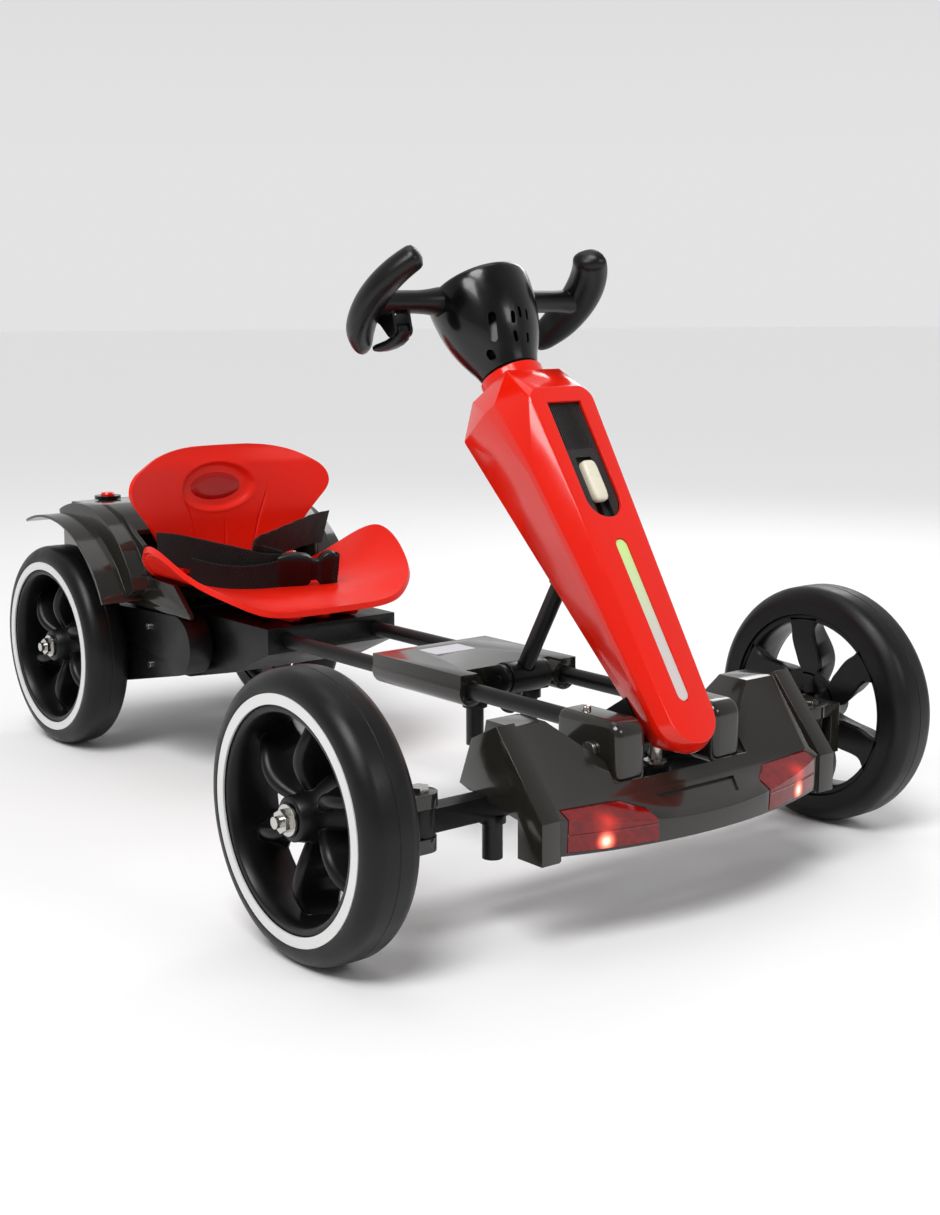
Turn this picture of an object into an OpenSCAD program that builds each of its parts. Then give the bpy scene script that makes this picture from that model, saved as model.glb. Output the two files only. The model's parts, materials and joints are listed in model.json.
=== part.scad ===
// Folding ride-on kart with a front steering column, bucket seat and small rear drive.
// Millimetres, +Z up, the kart faces -Y, origin on the floor under the middle of the whole kart.

/* [Wheels] */
// distance between front and rear axles
wheelbase = 778; // [650:1:900]
// outside diameter of every tyre
wheel_d = 240; // [180:1:280]
// width of every tyre
wheel_w = 52; // [40:1:62]
// middle of the kart to the outer face of a front wheel
front_half_track = 338; // [320:1:380]
// middle of the kart to the outer face of a rear wheel
rear_half_track = 177; // [175:1:220]
// width of the white ring on the tyre wall
stripe_w = 9; // [5:0.5:12]
// number of spokes in a rim
spoke_count = 6; // [4:1:8]
// diameter of the stub axles and the rear axle
axle_d = 12; // [10:1:14]

/* [Frame] */
// diameter of the two frame tubes
tube_d = 16; // [12:1:20]
// half the distance between the frame tubes
tube_x = 58; // [54:1:62]
// height of the frame tubes above the floor
tube_z = 165; // [160:1:172]
// side of the square front beam
beam_s = 20; // [16:1:22]
// distance from front axle forward to the beam and kingpins
king_lead = 45; // [40:1:50]
// middle of the kart to a kingpin
king_x = 238; // [225:1:245]

/* [Column] */
// lean of the steering column from upright, degrees
column_tilt = 32.5; // [28:0.5:36]
// fold pivot to the neck of the steering hub
column_len = 366; // [340:1:390]
// diameter of the prop strut
strut_d = 16; // [12:1:18]
// length of the prop strut
strut_len = 168; // [160:1:180]

/* [Steering head] */
// largest diameter of the steering hub
hub_d = 100; // [80:1:110]
// height of the steering hub
hub_h = 104; // [90:1:115]
// diameter of the hand grips
grip_d = 27; // [20:1:30]
// middle radius of the curved grips
grip_r = 90; // [80:1:96]

/* [Seat] */
// overall width of the seat base
seat_w = 304; // [270:1:320]
// wall thickness of both seat mouldings
seat_t = 5; // [4:0.5:7]
// height of the seat back
back_h = 128; // [100:1:140]

/* [Body] */
// wall thickness of the covers
wall = 3; // [2:0.5:4]
// half width of the nose cover between its fins
nose_half = 158; // [150:1:164]
// thickness of a nose fin
fin_t = 19; // [12:1:24]

/* [Hidden] */
$fn = 96;
front_y = 15 - wheelbase / 2;
rear_y = 15 + wheelbase / 2;
wheel_r = wheel_d / 2;
rim_r = wheel_r - 27.4;
fold_y = front_y - 72;
fold_z = 148;
beam_y = front_y - king_lead;
beam_z = 112;
clamp_y = front_y + 108;
clamp_z = 172;
pin_t = 176;
pin_n = 26;
pin_y = fold_y + pin_t * sin(column_tilt) + pin_n * cos(column_tilt);
pin_z = fold_z + pin_t * cos(column_tilt) - pin_n * sin(column_tilt);
strut_lean = atan((clamp_y - pin_y) / (pin_z - clamp_z));
lever_x = -96;
lever_y = 14;
lever_z = 58;
gear_m = 2.5;
shaft_d = 12;
motor_z = wheel_r + 20;
button_x = -76;
phase_a = mate(0, 36, 24, atan2(6, -75));
phase_b = mate(phase_a, 24, 24, atan2(6, -60));
phase_c = mate(phase_b, 24, 12, atan2(8, -45));

// ---- placing helpers ----

// wheel frame: local z points outward from the outer tyre face
module at_wheel(side, half_track, y)
    translate([side * half_track, y, wheel_r]) rotate([0, side * 90, 0]) children();

// column frame: origin on the fold pivot, z up the column, y to the back
module in_column()
    translate([0, fold_y, fold_z]) rotate([-column_tilt, 0, 0]) children();

// steering head frame: origin at the hub neck on the steering axis
module in_head()
    in_column() translate([0, 0, column_len]) children();

// rod along X centred on x = 0
module rod_x(d, len)
    rotate([0, 90, 0]) cylinder(d = d, h = len, center = true);

// profile given as (y, z), extruded along X between two stations
module side_slab(x0, x1)
    translate([x0, 0, 0]) rotate([90, 0, 90]) linear_extrude(x1 - x0) children();

// profile given as (x, z), extruded along Y between two stations
module front_slab(y0, y1)
    translate([0, y1, 0]) rotate([90, 0, 0]) linear_extrude(y1 - y0) children();

// ---- wheels ----

module tyre() {
    color([0.07, 0.07, 0.075])
    difference() {
        rotate_extrude() intersection() {
            union() {
                translate([rim_r, -wheel_w]) square([wheel_r - 14 - rim_r, wheel_w]);
                translate([wheel_r - 15, 14 - wheel_w]) square([15, wheel_w - 28]);
                translate([wheel_r - 14, -14]) circle(r = 14);
                translate([wheel_r - 14, 14 - wheel_w]) circle(r = 14);
            }
            translate([rim_r, -wheel_w]) square([wheel_r - rim_r, wheel_w]);
        }
        translate([0, 0, -1.5]) difference() {
            cylinder(r = rim_r + stripe_w, h = 4);
            translate([0, 0, -1]) cylinder(r = rim_r - 1, h = 6);
        }
    }
}

module stripe() {
    color([0.95, 0.95, 0.94])
    translate([0, 0, -1.5]) difference() {
        cylinder(r = rim_r + stripe_w, h = 1.8);
        translate([0, 0, -1]) cylinder(r = rim_r, h = 4);
    }
}

module rim() {
    color([0.05, 0.05, 0.055])
    difference() {
        union() {
            translate([0, 0, 2 - wheel_w]) difference() {
                cylinder(r = rim_r, h = wheel_w - 4);
                translate([0, 0, -1]) cylinder(r = rim_r - 7, h = wheel_w);
            }
            translate([0, 0, 4 - wheel_w]) cylinder(r = 19, h = wheel_w - 10);
            for (i = [0 : spoke_count - 1])
                rotate([0, 0, i * 360 / spoke_count]) translate([0, 0, 14 - wheel_w])
                    linear_extrude(wheel_w - 24) spoke_shape();
        }
        translate([0, 0, -wheel_w]) cylinder(d = axle_d + 0.1, h = wheel_w + 4);
        translate([0, 0, -12]) difference() {
            cylinder(r = 14, h = 10);
            translate([0, 0, -1]) cylinder(r = 11, h = 12);
        }
    }
}

// curved blade spoke that widens toward the rim
module spoke_shape() {
    intersection() {
        difference() {
            circle(r = rim_r - 6);
            circle(r = 17);
        }
        difference() {
            translate([rim_r / 2 + 2, -rim_r * 0.55]) circle(r = rim_r * 0.78);
            translate([rim_r / 2 - 4, -rim_r * 0.76]) circle(r = rim_r * 0.76);
        }
        translate([0, -30]) square([rim_r, 100]);
    }
}

module tyre_front_left() at_wheel(1, front_half_track, front_y) tyre();
module stripe_front_left() at_wheel(1, front_half_track, front_y) stripe();
module rim_front_left() at_wheel(1, front_half_track, front_y) rim();
module tyre_front_right() at_wheel(-1, front_half_track, front_y) tyre();
module stripe_front_right() at_wheel(-1, front_half_track, front_y) stripe();
module rim_front_right() at_wheel(-1, front_half_track, front_y) rim();
module tyre_rear_left() at_wheel(1, rear_half_track, rear_y) tyre();
module stripe_rear_left() at_wheel(1, rear_half_track, rear_y) stripe();
module rim_rear_left() at_wheel(1, rear_half_track, rear_y) rim();
module tyre_rear_right() at_wheel(-1, rear_half_track, rear_y) tyre();
module stripe_rear_right() at_wheel(-1, rear_half_track, rear_y) stripe();
module rim_rear_right() at_wheel(-1, rear_half_track, rear_y) rim();

// washer, nut and threaded end that hold a wheel on, in the wheel frame
module wheel_nut() {
    translate([0, 0, -4.5]) cylinder(d = 26, h = 2);
    translate([0, 0, -2.5]) cylinder(d = 20, h = 6, $fn = 6);
    translate([0, 0, 3]) cylinder(d = axle_d - 2, h = 6);
}

module rear_axle() {
    color([0.72, 0.73, 0.75]) {
        translate([0, rear_y, wheel_r]) rod_x(axle_d, 2 * rear_half_track);
        at_wheel(1, rear_half_track, rear_y) wheel_nut();
        at_wheel(-1, rear_half_track, rear_y) wheel_nut();
    }
}

// ---- frame ----

module frame_tube(side) {
    color([0.06, 0.06, 0.065])
    translate([side * tube_x, front_y - 92, tube_z]) rotate([-90, 0, 0]) difference() {
        cylinder(d = tube_d, h = wheelbase - 125);
        translate([0, 0, -1]) cylinder(d = tube_d - 4, h = wheelbase - 123);
    }
}

module frame_tube_left() frame_tube(1);
module frame_tube_right() frame_tube(-1);

// square beam with its peg legs, kingpin eyes and the spindle bearing
module front_beam() {
    color([0.06, 0.06, 0.065])
    difference() {
        union() {
            translate([-king_x + 17, beam_y - beam_s / 2, beam_z - beam_s / 2])
                cube([2 * king_x - 34, beam_s, beam_s]);
            for (side = [-1, 1]) {
                translate([side * 162, beam_y, 65]) cylinder(d = 17.5, h = 40);
                translate([side * 162, beam_y, 96]) cylinder(d = 23, h = 7);
                translate([side * king_x, beam_y, beam_z - 12]) cylinder(d = 26, h = 24);
                translate([side * (king_x - 12) - 8, beam_y - 10, beam_z - 10]) cube([16, 20, 20]);
            }
            translate([-14, fold_y, 100]) cube([28, beam_y - fold_y, 22]);
            translate([0, fold_y, 100]) cylinder(d = 28, h = 24);
        }
        for (side = [-1, 1]) {
            translate([side * king_x, beam_y, beam_z - 20]) cylinder(d = 10.05, h = 40);
            translate([side * 162, beam_y, 64]) cylinder(d = 11, h = 30);
        }
        translate([0, fold_y, 90]) cylinder(d = shaft_d + 0.1, h = 50);
    }
}

// grey sockets that take the tube ends and the fold pin, one each side of the column foot
module front_socket() {
    color([0.24, 0.235, 0.225])
    difference() {
        union() {
            for (side = [-1, 1]) {
                translate([0, front_y, 0]) side_slab(side * 58.5 - 17.5, side * 58.5 + 17.5)
                    socket_shape();
            }
            translate([-42, beam_y - 9, beam_z + beam_s / 2]) cube([84, 40, 6]);
        }
        for (side = [-1, 1])
            translate([side * tube_x, front_y - 92, tube_z]) rotate([-90, 0, 0])
                cylinder(d = tube_d, h = 90);
        translate([0, fold_y, fold_z]) rod_x(10.1, 170);
        translate([-12, fold_y - 20, beam_z]) cube([24, 36, 40]);
    }
    color([0.75, 0.76, 0.78])
    for (side = [-1, 1])
        translate([side * 60, front_y - 48, tube_z + tube_d / 2 + 3]) cylinder(d = 9, h = 5);
}

module socket_shape() {
    difference() {
        union() {
            translate([-104, beam_z + beam_s / 2]) square([78, tube_z - beam_z - 16]);
            translate([-90, beam_z + beam_s / 2])
                square([64, tube_z - beam_z + (tube_d - beam_s) / 2 + 4]);
            translate([-90, tube_z - 2]) circle(r = tube_d / 2 + 6);
        }
        translate([-98, beam_z]) square([10, 14]);
    }
}

// two half pins, which leave the middle free for the steering joint
module fold_pin() {
    color([0.72, 0.73, 0.75])
    translate([0, fold_y, fold_z])
        for (side = [-1, 1]) {
            translate([side * 47.5, 0, 0]) rod_x(10, 59);
            translate([side * 78, 0, 0]) rod_x(16, 3);
        }
}

// ---- steering linkage ----

// kingpin hinge block with the arm back to the stub axle and the steering arm below
module knuckle(side) {
    color([0.24, 0.235, 0.225])
    difference() {
        union() {
            translate([side * king_x, beam_y, beam_z + 12.4]) cylinder(d = 30, h = 12);
            translate([side * king_x, beam_y, beam_z - 24.4]) cylinder(d = 28, h = 12);
            translate([side * (king_x + 22) - 6, beam_y - 14, beam_z - 24.4])
                cube([12, king_lead + 29, 48.8]);
            translate([side * (king_x + 11) - 11, beam_y - 14, beam_z + 12.4]) cube([22, 28, 12]);
            translate([side * (king_x + 11) - 11, beam_y - 14, beam_z - 24.4]) cube([22, 28, 12]);
            translate([side * king_x - 9, beam_y, beam_z - 24.4]) cube([18, king_lead, 6]);
            translate([side * king_x, front_y, beam_z - 24.4]) cylinder(d = 18, h = 6);
            translate([side * king_x, front_y, beam_z - 18.4]) cylinder(d = 8, h = 9);
        }
        translate([side * king_x, beam_y, beam_z - 30]) cylinder(d = 9.9, h = 70);
        translate([side * (king_x + 22), front_y, wheel_r]) rod_x(axle_d, 20);
    }
}

module knuckle_left() knuckle(1);
module knuckle_right() knuckle(-1);

// stub axle, kingpin and wheel nut of one side, all steel
module stub_axle(side) {
    color([0.72, 0.73, 0.75]) {
        translate([side * (front_half_track + king_x + 16) / 2, front_y, wheel_r])
            rod_x(axle_d, front_half_track - king_x - 16);
        at_wheel(side, front_half_track, front_y) {
            wheel_nut();
            translate([0, 0, -wheel_w - 4]) cylinder(d = 24, h = 7.5);
        }
        translate([side * king_x, beam_y, beam_z - 28]) cylinder(d = 9.9, h = 54);
        translate([side * king_x, beam_y, beam_z + 24.4]) cylinder(d = 17, h = 4, $fn = 6);
    }
}

module stub_axle_left() stub_axle(1);
module stub_axle_right() stub_axle(-1);

// flat link with slots for the knuckle pins and the spindle arm pin
module tie_rod() {
    color([0.3, 0.3, 0.32])
    translate([0, front_y, beam_z - 17.9]) linear_extrude(5) difference() {
        union() {
            translate([-king_x - 9, -9.5]) square([2 * king_x + 18, 18]);
            translate([-16, -king_lead - 14]) square([32, king_lead + 10]);
        }
        for (side = [-1, 1])
            translate([side * king_x - 4.7, -7]) square([9.4, 13]);
        translate([-4.7, -king_lead - 8.5]) square([9.4, 16]);
    }
}

// lower steering spindle: ball top in the column foot, arm and pin below the beam
module steering_spindle() {
    color([0.3, 0.3, 0.32])
    translate([0, fold_y, 0]) {
        translate([0, 0, beam_z - 24]) cylinder(d = shaft_d, h = fold_z - beam_z + 18);
        translate([0, 0, fold_z]) sphere(d = 16);
        translate([-9, -9, beam_z - 24]) cube([18, 42, 5]);
        translate([0, 27, beam_z - 24]) cylinder(d = 8, h = 11);
        translate([0, 0, 124.4]) cylinder(d = 20, h = 3);
    }
}

// ---- nose ----

// solid outer form of the nose, grown or shrunk by d
module nose_form(d) {
    translate([0, front_y, 0]) intersection() {
        side_slab(-nose_half - d, nose_half + d) polygon([
            [-160, 80 - d], [-160, 96 + d], [-152 - d, 100 + d], [-112 - d, 120 + d],
            [-66 - d, 180 + d], [-32 + d, 180 + d], [-20 + d, 128], [-40, 120 - d],
            [-92 + d, 111 - d], [-92 + d, 80 - d]]);
        front_slab(-170, 0) polygon([
            [-nose_half - d, 70], [-nose_half - d, 184], [-128 + d, 184], [-60 + d, 127 + d],
            [60 - d, 127 + d], [128 - d, 184], [nose_half + d, 184], [nose_half + d, 70]]);
        translate([0, 308, 0]) cylinder(r = 458 + d, h = 300, $fn = 360);
    }
}

// part of the nose taken up by one lamp, seen from the front
module lamp_zone(side, g)
    translate([0, front_y, 0]) front_slab(-170, -96) polygon([
        [side * (150 + g), 87 - g], [side * (149 + g), 119 + g], [side * (88 - g / 2), 117 + g],
        [side * (69 - g), 110 + g], [side * (67 - g), 86 - g]]);

module nose_fin(side) {
    color([0.24, 0.235, 0.225])
    translate([0, front_y, 0]) {
        side_slab(side * (nose_half + fin_t / 2) - fin_t / 2, side * (nose_half + fin_t / 2) + fin_t / 2)
            polygon([[-125, 80], [-125, 115], [-68, 184], [-36, 168], [-20, 127], [-40, 121],
                [-95, 112], [-95, 80]]);
    }
}

module nose_cover() {
    color([0.24, 0.235, 0.225])
    difference() {
        union() {
            difference() {
                nose_form(0);
                difference() {
                    nose_form(-wall);
                    for (side = [-1, 1])
                        translate([side * 120 - 3, front_y - 60, 100]) cube([6, 60, 90]);
                }
                translate([0, front_y, 0]) side_slab(-nose_half + wall, nose_half - wall)
                    polygon([[-150, 60], [-150, 84], [-89, 84], [-89, 115], [-40, 123], [-15, 131],
                        [-15, 60]]);
            }
            nose_fin(1);
            nose_fin(-1);
        }
        lamp_zone(1, 0.3);
        lamp_zone(-1, 0.3);
        translate([-80.5, front_y - 106, beam_z + 9]) cube([161, 90, 60]);
        translate([0, front_y - 72, 90]) cylinder(d = 34, h = 60);
        translate([-nose_half - 30, beam_y - 11, beam_z - 60]) cube([2 * nose_half + 60, 22, 71]);
        translate([0, front_y - 131, 112]) rotate([26, 0, 0]) linear_extrude(8)
            polygon([[-44, 8], [-36, -7], [36, -7], [44, 8]]);
    }
}

module lamp(side) {
    color([0.75, 0.05, 0.05, 0.8])
    difference() {
        intersection() {
            nose_form(0.5);
            lamp_zone(side, 0);
        }
        nose_form(-wall - 2);
    }
}

module lamp_left() lamp(1);
module lamp_right() lamp(-1);

// ---- middle of the frame ----

module cross_plate() {
    color([0.24, 0.235, 0.225])
    difference() {
        union() {
            translate([-72, front_y + 128, 168]) cube([144, 122, 13]);
            for (side = [-1, 1]) {
                translate([side * tube_x, front_y + 110, tube_z]) rotate([-90, 0, 0])
                    cylinder(d = 30, h = 140);
                translate([side * 62 - 10, front_y + 110, 168]) cube([20, 140, 13]);
            }
        }
        for (side = [-1, 1])
            translate([side * tube_x, front_y + 100, tube_z]) rotate([-90, 0, 0])
                cylinder(d = tube_d, h = 160);
        translate([-40, front_y + 140, 160]) cube([80, 100, 17]);
        translate([-28.2, front_y + 202.8, 180.6]) cube([50.4, 30.4, 2]);
    }
}

module blank_label() {
    color([0.93, 0.93, 0.95])
    translate([-28, front_y + 203, 180.6]) cube([50, 30, 0.6]);
}

// bracket across the tubes with ears for the strut clamp and two peg legs
module cross_bracket() {
    color([0.06, 0.06, 0.065])
    difference() {
        union() {
            translate([-52, front_y + 127, 150]) cube([104, 22, 18]);
            for (side = [-1, 1]) {
                translate([side * 24.5 - 3, clamp_y, 156]) cube([6, 36, 12]);
                translate([side * 24.5, clamp_y, clamp_z]) rod_x(28, 6);
                translate([side * 34, front_y + 136, 105]) cylinder(d = 17, h = 46);
                translate([side * 34, front_y + 136, 142]) cylinder(d = 24, h = 8);
            }
        }
        translate([0, clamp_y, clamp_z]) rod_x(8, 80);
        translate([-21.4, clamp_y - 30, 140]) cube([42.8, 59, 60]);
        for (side = [-1, 1]) {
            translate([side * 34, front_y + 136, 104]) cylinder(d = 11, h = 34);
            translate([side * tube_x, front_y + 100, tube_z]) rotate([-90, 0, 0])
                cylinder(d = 30, h = 60);
        }
    }
}

// swivelling block that the prop strut slides through
module strut_clamp() {
    color([0.06, 0.06, 0.065])
    translate([0, clamp_y, clamp_z]) difference() {
        union() {
            rod_x(31, 42);
            rod_x(7.9, 56);
        }
        rotate([strut_lean, 0, 0]) cylinder(d = strut_d + 1.4, h = 60, center = true);
    }
}

// prop strut from the column pin down through the clamp
module strut() {
    color([0.05, 0.05, 0.055])
    in_column() translate([0, pin_n, pin_t]) rotate([column_tilt + strut_lean, 0, 0]) {
        translate([0, 0, -strut_len]) difference() {
            cylinder(d = strut_d, h = strut_len - 18);
            translate([0, 0, -1]) cylinder(d = strut_d - 4, h = strut_len - 30);
        }
        difference() {
            union() {
                rod_x(18, 13);
                translate([-6.5, -8, -20]) cube([13, 16, 20]);
            }
            rod_x(8.1, 20);
        }
    }
}

// ---- column ----

// tube that carries the steering shaft, with the fold ears and the strut pin
module column_core() {
    color([0.3, 0.3, 0.32])
    in_column() {
        difference() {
            union() {
                translate([0, 0, 34]) cylinder(d = 28, h = column_len - 38);
                translate([0, 0, 20]) cylinder(d = 44, h = 16);
                for (side = [-1, 1]) {
                    translate([side * 25 - 5, -14, 0]) cube([10, 28, 36]);
                    translate([side * 25, 0, 0]) rod_x(28, 10);
                    translate([side * 35, 0, 0]) rod_x(20, 11);
                    translate([side * 10 - 3, 8, pin_t - 12]) cube([6, pin_n, 24]);
                }
                translate([0, 0, column_len - 14]) cylinder(d = 52, h = 8);
            }
            translate([0, 0, 10]) cylinder(d = shaft_d + 0.1, h = column_len);
            translate([0, 0, 12]) cylinder(d = 26, h = 12);
            rod_x(10.1, 90);
            translate([-6.9, 12, pin_t - 14]) cube([13.8, 30, 28]);
        }
        translate([0, pin_n, pin_t]) rod_x(8, 30);
        for (side = [-1, 1])
            translate([side * 15.5, pin_n, pin_t]) rod_x(13, 3);
    }
}

// convex outer form of the column cover, shrunk by d, in the column frame
module shroud_form(d) {
    hull() {
        translate([0, -51 + d, 2]) rotate([-90, 0, 0]) cylinder(r = 27 - d, h = 0.5);
        translate([0, -40 + d, 4]) rotate([-90, 0, 0]) cylinder(r = 33 - d, h = 6);
        translate([-24 + d, -20, -12]) cube([48 - 2 * d, 4 - d, 30]);
        translate([-37 + d, -51 + d, 300]) cube([74 - 2 * d, 0.5, 22 - d]);
        translate([-50 + d, -32, 250]) cube([100 - 2 * d, 6, 1]);
        translate([-46 + d, -14, 326 - d]) cube([92 - 2 * d, 16, 1]);
        translate([-36 + d, 30, 324]) cube([72 - 2 * d, 24 - d, 2]);
        translate([-32 + d, -30, 352 - d]) cube([64 - 2 * d, 58, 1]);
    }
}

module column_shroud() {
    color([0.85, 0.07, 0.04])
    in_column() difference() {
        union() {
            shroud_form(0);
            translate([0, 0, 350]) cylinder(d = 60, h = column_len - 352);
        }
        shroud_form(wall);
        translate([0, 0, 330]) cylinder(d = 52.4, h = 60);
        translate([-19.8, -18, -60]) cube([39.6, 40, 200]);
        translate([-31, -15, -30]) cube([62, 40, 66]);
        translate([-19, -10, pin_t - 40]) cube([38, 60, 62]);
        translate([-20.2, -60, 210]) cube([40.4, 14, 97]);
        translate([0, -60, 210]) rotate([-90, 0, 0]) cylinder(r = 20.2, h = 14);
        translate([0, -53, 14]) rotate([-90, 0, 0]) cylinder(r = 8.2, h = 5);
        translate([-8.2, -53, 14]) cube([16.4, 5, 140]);
        translate([0, -53, 154]) rotate([-90, 0, 0]) cylinder(r = 8.2, h = 5);
    }
}

module light_strip() {
    color([0.93, 0.92, 0.86])
    in_column() {
        translate([0, -50.4, 14]) rotate([-90, 0, 0]) cylinder(r = 8, h = 4);
        translate([-8, -50.4, 14]) cube([16, 4, 140]);
        translate([0, -50.4, 154]) rotate([-90, 0, 0]) cylinder(r = 8, h = 4);
    }
}

// sunk panel with fine ribs above the slide button
module ribbed_panel() {
    color([0.05, 0.05, 0.055])
    in_column() difference() {
        union() {
            translate([-20, -47, 210]) cube([40, 8, 96.8]);
            translate([0, -47, 210]) rotate([-90, 0, 0]) cylinder(r = 20, h = 8);
        }
        for (i = [-7 : 7])
            translate([i * 2.5 - 0.5, -47.5, 260]) cube([1, 1.5, 45]);
        translate([-9.5, -47.5, 190.6]) cube([19, 5.5, 61.4]);
        translate([-3.05, -50, 196]) cube([6.1, 14, 46]);
    }
}

module slide_button() {
    color([0.93, 0.91, 0.83])
    in_column() {
        difference() {
            translate([-8, -53, 207]) cube([16, 10.6, 40]);
            translate([-9, -56, 205]) rotate([20, 0, 0]) cube([18, 6, 12]);
        }
        translate([-2.9, -43, 222]) cube([5.8, 6, 10]);
    }
}

// ---- steering head ----

module steering_shaft() {
    color([0.72, 0.73, 0.75])
    in_column() difference() {
        union() {
            translate([0, 0, 12]) cylinder(d = shaft_d, h = column_len + 18);
            translate([0, 0, 4]) cylinder(d = 22, h = 11.4);
        }
        sphere(d = 17);
        translate([0, 0, -10]) cylinder(d = 17, h = 10);
    }
}

module steering_hub() {
    color([0.05, 0.05, 0.055])
    in_head() difference() {
        rotate_extrude() polygon([
            [0, 0.5], [26, 0.5], [27, 12], [33, 30], [0.41 * hub_d, 50], [0.475 * hub_d, 66],
            [0.5 * hub_d, 80], [0.48 * hub_d, hub_h - 12], [0.42 * hub_d, hub_h - 5],
            [0.3 * hub_d, hub_h - 1], [0, hub_h]]);
        translate([0, 0, -1]) cylinder(d = shaft_d, h = 31.1);
        rotate([0, 0, -18]) translate([0, -40, 50]) rotate([30, 0, 0]) cube([5, 22, 26], center = true);
        for (i = [0 : 3])
            rotate([0, 0, 8 + 9 * i]) translate([0, -41, 56 - 4 * abs(i - 1)])
                rotate([30, 0, 0]) cube([3, 14, 9], center = true);
        rotate([0, 0, -48]) translate([0, -44, 44]) rotate([60, 0, 0])
            cylinder(d = 7, h = 24, center = true);
        for (side = [-1, 1])
            translate([side * 50, 5, 84]) rod_x(22, 44);
    }
}

// curved upright grip with its arm into the hub
module grip(side) {
    first = side > 0 ? -54 : 144;
    color([0.07, 0.07, 0.075])
    in_head() {
        translate([side * 78, 5, 84]) rod_x(22, 100);
        translate([0, 0, 88]) rotate([-20, 0, 0]) translate([side * 45, 12, 0])
            rotate([0, 0, first]) {
                rotate_extrude(angle = 90) translate([grip_r, 0]) circle(d = grip_d);
                translate([grip_r, 0, 0]) rotate([90, 0, 0]) grip_end();
                rotate([0, 0, 90]) translate([grip_r, 0, 0]) rotate([-90, 0, 0]) grip_end();
            }
    }
}

// tapered end of a grip
module grip_end() cylinder(d1 = grip_d, d2 = grip_d * 0.6, h = grip_d * 0.4);

module grip_left() grip(1);

// right grip, with the cheeks and pin that carry the finger lever
module grip_right() {
    grip(-1);
    color([0.07, 0.07, 0.075])
    in_head() translate([lever_x, lever_y, lever_z]) {
        for (side = [-1, 1])
            translate([side * 8.8 - 1.5, -6, -6]) cube([3, 12, 26]);
        rod_x(3.9, 18);
    }
}

// finger lever below the right grip
module throttle_trigger() {
    color([0.05, 0.05, 0.055])
    in_head() translate([lever_x, lever_y, lever_z]) difference() {
        union() {
            rod_x(13, 14);
            translate([-7, 0, -6.5]) cube([14, 36, 7]);
            translate([0, 36, -3]) rod_x(7, 14);
        }
        rod_x(4, 30);
    }
}

// ---- rear ----

module rear_box() {
    color([0.07, 0.07, 0.075])
    translate([0, rear_y, 0]) difference() {
        union() {
            side_slab(-84, 84) polygon([[-352, 152], [-352, 180], [-60, 180], [-60, wheel_r - 22],
                [-180, wheel_r - 20], [-282, wheel_r + 2]]);
            for (side = [-1, 1])
                side_slab(side * 87 - 3, side * 87 + 3) polygon([[-170, 180], [-60, 180],
                    [14, wheel_r + 26], [14, wheel_r - 16], [-30, wheel_r - 22],
                    [-120, wheel_r - 22]]);
        }
        side_slab(-81, 81) polygon([[-300, wheel_r + 13], [-300, 174], [-170, 176], [-64, 176],
            [-64, wheel_r - 18], [-178, wheel_r - 16], [-278, wheel_r + 6]]);
        for (side = [-1, 1])
            translate([side * tube_x, -400, tube_z]) rotate([-90, 0, 0])
                cylinder(d = tube_d, h = 184);
        translate([-86, -180, motor_z]) rod_x(24, 12);
        translate([0, 0, wheel_r]) rod_x(axle_d, 200);
    }
}

module battery() {
    color([0.2, 0.2, 0.22])
    translate([-14, rear_y - 172, wheel_r - 16]) cube([90, 100, 50]);
}

module motor() {
    color([0.5, 0.51, 0.53])
    translate([0, rear_y - 180, motor_z]) {
        translate([-50, 0, 0]) rod_x(52, 62);
        difference() {
            translate([-86, 0, 0]) rod_x(24, 12);
            translate([-90, 0, 0]) rod_x(6.1, 16);
        }
    }
}

// ---- drive train in the right side case ----

// plain toothed outline with n teeth of module m
module gear_shape(n, m) {
    polygon([for (i = [0 : n - 1], k = [0 : 3])
        let (a = (i + [-0.27, -0.11, 0.11, 0.27][k]) * 360 / n,
             r = m * n / 2 + [-1.15, 0.75, 0.75, -1.15][k] * m)
        [r * cos(a), r * sin(a)]]);
}

// gear turning about X, its outline turned by phase
module gear(n, phase, w, bore)
    rotate([90, 0, 90]) rotate([0, 0, phase]) translate([0, 0, -w / 2]) linear_extrude(w)
        difference() {
            gear_shape(n, gear_m);
            circle(d = bore);
        }

// tooth phase of a gear that meshes with one of phase p and n1 teeth in direction b
function mate(p, n1, n2, b) = b + 180 - (0.5 - (b - p) * n1 / 360) * 360 / n2;

module drive_gear() {
    color([0.85, 0.84, 0.8])
    translate([-107, rear_y, wheel_r]) {
        gear(36, 0, 14, axle_d + 0.1);
        difference() {
            translate([-7.4, 0, 0]) rod_x(30, 28.4);
            translate([-7.4, 0, 0]) rod_x(axle_d + 0.1, 40);
        }
    }
}

module idler_rear() {
    color([0.85, 0.84, 0.8])
    translate([-107, rear_y - 75, wheel_r + 6]) gear(24, phase_a, 12, 8.1);
}

module idler_front() {
    color([0.85, 0.84, 0.8])
    translate([-107, rear_y - 135, wheel_r + 12]) gear(24, phase_b, 12, 8.1);
}

module motor_pinion() {
    color([0.8, 0.72, 0.45])
    translate([-107, rear_y - 180, motor_z]) {
        gear(12, phase_c, 12, 5);
        translate([7, 0, 0]) rod_x(6, 26);
    }
}

module case_shape(d) {
    hull() {
        translate([0, wheel_r]) circle(r = 52 - d);
        translate([-75, wheel_r + 6]) circle(r = 38 - d);
        translate([-214, wheel_r + 26]) circle(r = 34 - d);
    }
}

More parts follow.
